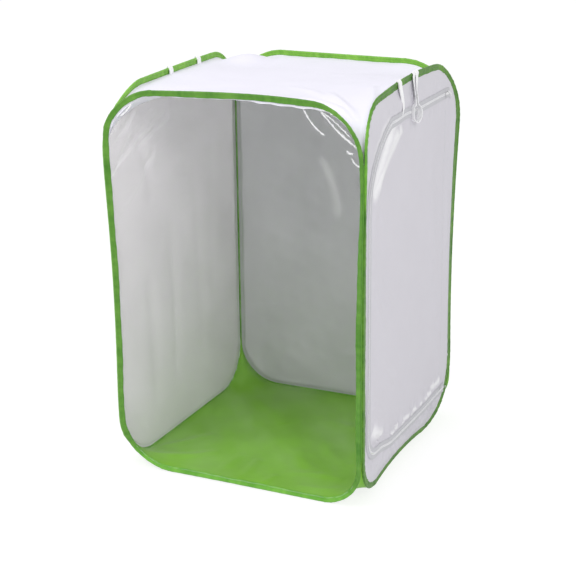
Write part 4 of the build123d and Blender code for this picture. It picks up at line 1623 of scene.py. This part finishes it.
fine = zip_line(TEETH_PITCH / 4)
coarse = {key: values[::5] for key, values in fine.items()}


def on_the_door(line):
    return part_of(line, line["back"] <= DOOR_END)


def tails_of(line):
    """The upper and the lower tail of the zip, beyond the hinge."""
    return [part_of(line, (line["back"] > HINGE) & ((line["up"] > HEIGHT / 2) == upper))
            for upper in (True, False)]


def joined(name, pieces):
    """Several meshes as one object."""
    with bpy.context.temp_override(active_object=pieces[0], selected_editable_objects=pieces):
        bpy.ops.object.join()
    pieces[0].name = pieces[0].data.name = name
    return pieces[0]


wall_piece(zip_tape("zip_tape_on_surround", coarse, -1), "right", "zip_tape", "surround_zip_tape")
wall_piece(zip_tape("zip_tape_on_door", on_the_door(coarse), 1), "door", "zip_tape", "door_zip_tape")
tails = joined("zip_tape_tails", [zip_tape("tail", tail, 1) for tail in tails_of(coarse)])
wall_piece(tails, "right", "zip_tape", "zip_tape_ends")
print(tails.name, "and two more zip tapes")

# %% [markdown]
# ### The zip's teeth
# Each turn of the coil shows as a short bar across the tape's edge. A bent wire would be truer and far
# heavier, so the bars are beads. The door's row starts half a pitch late, so that the two rows mesh.

# %% The zip's teeth
TEETH_ASIDE, TEETH_OUT = 0.0015, 0.0009  # from the zip's line, and from the tape's middle


def zip_teeth(name, line, side):
    back, up = beside(line, np.array([TEETH_ASIDE * side]))
    shift = 2 if side > 0 else 0  # two points are half a pitch
    points = door_wall(back[shift:, 0], up[shift:, 0], TAPE_OUT + TEETH_OUT)
    return bead_row(name, points, np.array((1.0, 0, 0)), coil_nylon, Pitch=TEETH_PITCH,
                    Size=(0.0014, 0.0036, 0.0018), Unevenness=0.03, Seed=5)


wall_piece(zip_teeth("surround_zip_teeth", fine, -1), "right", "zip_coil", "surround_zip_coil")
wall_piece(zip_teeth("door_zip_teeth", on_the_door(fine), 1), "door", "zip_coil", "door_zip_coil")
tails = joined("zip_tail_teeth", [zip_teeth("tail", tail, 1) for tail in tails_of(fine)])
wall_piece(tails, "right", "zip_coil", "zip_coil_ends")
print("about", int(fine["run"][-1] / TEETH_PITCH), "teeth on each side of the zip")

# %% [markdown]
# ### The slider, its pull and the end stops
# These are small cast pieces, and the model already has their shape. Only their finish is changed, so
# that they keep moving as the model says.

# %% The slider's metal
for name in ("zip_slider", "zip_pull", "zip_end_stops"):
    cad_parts[name].data.materials.clear()
    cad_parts[name].data.materials.append(zip_metal)
print("slider, pull and stops are", zip_metal.name)

# %% [markdown]
# ## Corner seams
# Where two walls meet, their tapes are sewn edge to edge, and that seam is the hinge on which the tent
# folds flat. It is a thin welt of thread with a row of whip stitches over it.

# %% The corner seams
WELT_RADIUS, SEAM_OVERLAP = 0.0011, 0.012


def corner_seam(name, body):
    node_name = name + "_corner_seam"
    lowest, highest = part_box(node_name)
    up = np.linspace(lowest.z - SEAM_OVERLAP, highest.z + SEAM_OVERLAP, 120)
    middle = (lowest + highest) / 2
    points = np.concatenate([np.array(middle[:2]) + lean_at(name, 2 * up / HEIGHT - 1), up[:, None]], 1)
    angles = np.arange(8) * 2 * pi / 8
    ring = WELT_RADIUS * np.stack([np.cos(angles), np.sin(angles), 0 * angles], 1)
    welt = tube(name + "_seam", points[:, None] + ring, up - up[0], green_thread, closed=False)
    wall_piece(welt, body, "seam", node_name)
    outside = np.array((middle.x, middle.y, 0)) / middle.length
    stitches = bead_row(name + "_seam_stitches", points + outside * 0.0004, outside, green_thread,
                        Pitch=0.0045, Size=(0.0012, 0.0044, 0.0022), Unevenness=0.25, Seed=7)
    return wall_piece(stitches, body, "seam")


for name, body in (("front_right", "front"), ("front_left", "front"), ("back_right", "right"),
                   ("back_left", "back")):
    corner_seam(name, body)
print("four corner seams")

# %% [markdown]
# ## Hanging loops
# Four short loops of white webbing are sewn into the roof's seam and hang over the side walls' tapes.
# Each is one ribbon: over the sleeve, down the wall, round a teardrop and back up.

# %% The webbing's path
def through(points, count):
    """A smooth path through points, with any extra columns carried along."""
    points = np.concatenate([2 * points[:1] - points[1:2], points, 2 * points[-1:] - points[-2:-1]])
    place = np.linspace(0, len(points) - 3, count)
    start = np.minimum(place.astype(int), len(points) - 4)
    t = (place - start)[:, None]
    a, b, c, d = (points[start + i] for i in range(4))
    return 0.5 * (2 * b + (c - a) * t + (2 * a - 5 * b + 4 * c - d) * t**2 + (3 * b - a - 3 * c + d) * t**3)


WEBBING_WIDTH, WEBBING_THICKNESS = 0.016, 0.0011
# Over the wall's edge: how far out, how far up and the share of the loop's own turn.
GOING_OUT = [(-0.0040, -0.0175, 0), (-0.0036, -0.0040, 0), (0.0002, 0.0014, 0), (0.0040, -0.0024, 0),
             (0.0048, -0.014, 0.15)]
COMING_BACK = [(0.0064, -0.014, 0.15), (0.0056, -0.0020, 0), (0.0004, 0.0030, 0), (-0.0048, -0.0040, 0),
               (-0.0052, -0.0175, 0)]
TEARDROP = [(-0.22, 0.95), (-0.75, 0.45), (-1.0, -0.10), (-0.72, -0.72), (0.0, -1.0),
            (0.72, -0.72), (1.0, -0.10), (0.75, 0.45), (0.22, 0.95)]
print("the teardrop is set by", len(TEARDROP), "points")

# %% [markdown]
# ### One loop of webbing
# A ribbon needs its width's direction as well as its path, or it twists at random. Here both run through
# the same smooth curve, so the ribbon turns from the wall's direction to its own on the way down.

# %% One hanging loop
def hanging_loop(name, wall, place, turn, spread, tall, drop, skew=0.0, apart=0.0):
    """turn: 0 opens along the wall, 90 faces out from it. spread and tall are half the teardrop's sizes.

    skew is how far it hangs aside, and apart how far its two ends are sewn from each other.
    """
    along = np.array((*WALLS[wall]["along"], 0.0))
    out = np.array((*WALLS[wall]["out"], 0.0))
    up = np.array((0, 0, 1.0))
    top = on_wall(wall, place, HEIGHT)
    turn = radians(turn)
    side, wide = along * sin(turn) + out * cos(turn), along * cos(turn) - out * sin(turn)
    stand = 0.0030 + spread * cos(turn) + WEBBING_WIDTH / 2 * sin(turn)

    def over_the_edge(rows, shift):
        return [(*(o * out + u * up + (share * skew + shift) * along), *(along * (1 - share) + wide * share))
                for o, u, share in rows]

    track = over_the_edge(GOING_OUT, -apart / 2)
    for sideways, height in TEARDROP:
        share = min(1.0, 0.6 + (1 - height) * 0.5)
        track.append((*(side * sideways * spread + out * stand + up * (height * tall - drop + tall)
                        + along * skew), *(along * (1 - share) + wide * share)))
    track += over_the_edge(COMING_BACK, apart / 2)
    line = through(np.array(track), 150)
    centre, wide = line[:, :3] + top, line[:, 3:]
    heading = np.gradient(centre, axis=0)
    heading /= np.linalg.norm(heading, axis=1, keepdims=True)
    wide = wide - heading * (wide * heading).sum(1, keepdims=True)
    wide /= np.linalg.norm(wide, axis=1, keepdims=True)
    across = np.linspace(-0.5, 0.5, 7) * WEBBING_WIDTH
    run = np.concatenate([[0], np.cumsum(np.linalg.norm(np.diff(centre, axis=0), axis=1))])
    points = centre[:, None] + wide[:, None] * across[None, :, None]
    flat = np.stack(np.broadcast_arrays(across[None, :], run[:, None]), -1)
    piece = shell(name, points, flat, WEBBING_THICKNESS, webbing)
    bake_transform(piece)
    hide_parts(name.replace("_loop", "_hanging_loop"))
    return piece


print("webbing is", round(WEBBING_THICKNESS * 1000, 1), "mm thick")

# %% [markdown]
# ### The four loops
# Webbing seldom hangs straight, so each loop has its own turn, spread, height and drop.

# %% The hanging loops
LOOPS = [
    ("right_front_loop", "right", -0.078, 10, 0.0022, 0.018, 0.078, 0.014),
    ("right_rear_loop", "right", 0.020, 60, 0.012, 0.024, 0.106, -0.024, 0.014),
    ("left_front_loop", "left", 0.034, 84, 0.038, 0.036, 0.098, 0.012),
    ("left_rear_loop", "left", -0.104, 30, 0.010, 0.022, 0.078, 0.0),
]
for values in LOOPS:
    hanging_loop(*values)
print(len(LOOPS), "hanging loops of", round(WEBBING_WIDTH * 1000), "mm webbing")

# %% [markdown]
# ## The roof's seam allowance
# The roof's edge turns down behind the window's tape, and a narrow white strip of it shows under the
# tape at the top of the window and in its upper left corner.

# %% The seam allowance
def seam_allowance():
    line = loop_line("front", 0.004)
    keep = (line["up"] > HEIGHT - 0.085) & (line["along"] < 0.262)
    line = part_of(line, keep)
    along = line["along"]
    width = 0.0016 + 0.0034 * smooth(along, 0.0, 0.08) * smooth(-along, -0.25, -0.18)
    width += 0.0040 * np.exp(-(((along + 0.262) / 0.035) ** 2)) + 0.0006 * np.sin(along * 130)
    depth = line["width"][:, None] - 0.006 + np.multiply.outer(width + 0.006, np.linspace(0, 1, 5))
    points = on_wall("front", *inside_line(line, depth), -0.0022)
    flat = np.stack([np.broadcast_to(line["run"][:, None], depth.shape), depth], -1)
    piece = shell("roof_seam_allowance", points, flat, 0.0005, roof_cloth)
    return piece


wall_piece(seam_allowance(), "front", "white_roof")
print("seam allowance made")

# %% [markdown]
# ## Ground, sky and light
# The tent stands on plain white ground under a plain white sky. The sky lights it softly from all
# sides, and two broad lamps give the folds their shading. The ground is partly self-lit where it is
# seen, so that it stays white and still keeps the tent's shadow.

# %% The ground
def seen(tree):
    """1 for the rays by which the background is seen, directly, mirrored or through film; 0 for its light."""
    rays = node(tree, "ShaderNodeLightPath").outputs
    mirrored = maths(tree, "MAXIMUM", rays["Is Camera Ray"], rays["Is Glossy Ray"])
    return maths(tree, "MAXIMUM", mirrored, rays["Is Transmission Ray"])


GROUND, GROUND_LEVEL = 15.0, -0.001  # half its side, and its height just under the tent
GLOW_SHARE, GLOW = 0.72, 1.14
ground_mesh = bpy.data.meshes.new("ground")
ground_corners = [(x * GROUND, y * GROUND, GROUND_LEVEL) for x, y in ((-1, -1), (1, -1), (1, 1), (-1, 1))]
ground_mesh.from_pydata(ground_corners, [], [(0, 1, 2, 3)])
add_object("ground", ground_mesh)
ground_paint = bpy.data.materials.new("ground paint")
ground_paint.use_nodes = True
tree = ground_paint.node_tree
tree.nodes.clear()
paint = node(tree, "ShaderNodeBsdfDiffuse", (0.86, 0.86, 0.86, 1)).outputs[0]
glow = node(tree, "ShaderNodeEmission", (1, 1, 1, 1), GLOW).outputs[0]
mixed = node(tree, "ShaderNodeMixShader", times(tree, seen(tree), GLOW_SHARE), paint, glow).outputs[0]
node(tree, "ShaderNodeOutputMaterial", mixed)
ground_mesh.materials.append(ground_paint)
print("the ground is", round(2 * GROUND), "m wide")

# %% [markdown]
# ### The sky
# A white sky would light the tent too strongly, and a grey one would look grey. So its light is a little
# under white, and it is white only where it is seen.

# %% The sky
world = bpy.data.worlds.new("sky")
world.use_nodes = True
bpy.context.scene.world = world
tree = world.node_tree
SKY_LIGHT = 0.80
strength = node(tree, "ShaderNodeMapRange", seen(tree), 0.0, 1.0, SKY_LIGHT, 1.0).outputs[0]
tree.nodes["Background"].inputs["Color"].default_value = (1, 1, 1, 1)
feed(tree, tree.nodes["Background"].inputs["Strength"], strength)
print("the sky lights the tent at", SKY_LIGHT)

# %% [markdown]
# ### The lamps
# A broad lamp gives soft shadows, as a large window does. The key lamp shapes the folds, and a weaker one
# from the right keeps the zipped wall from going dull.

# %% The lamps
def lamp(name, place, aim, size, power):
    data = bpy.data.lights.new(name, "AREA")
    data.size, data.energy = size, power
    made = add_object(name, data)
    made.location = place
    made.rotation_euler = (Vector(aim) - Vector(place)).to_track_quat("-Z", "Y").to_euler()


lamp("key", (-1.7, -2.4, 3.3), (0, 0, 0.5), 1.6, 45)
lamp("side", (2.6, -2.4, 2.6), (0, 0, 0.5), 1.0, 32)
bpy.context.scene.view_settings.view_transform = "Standard"
print("two lamps and a plain sky")
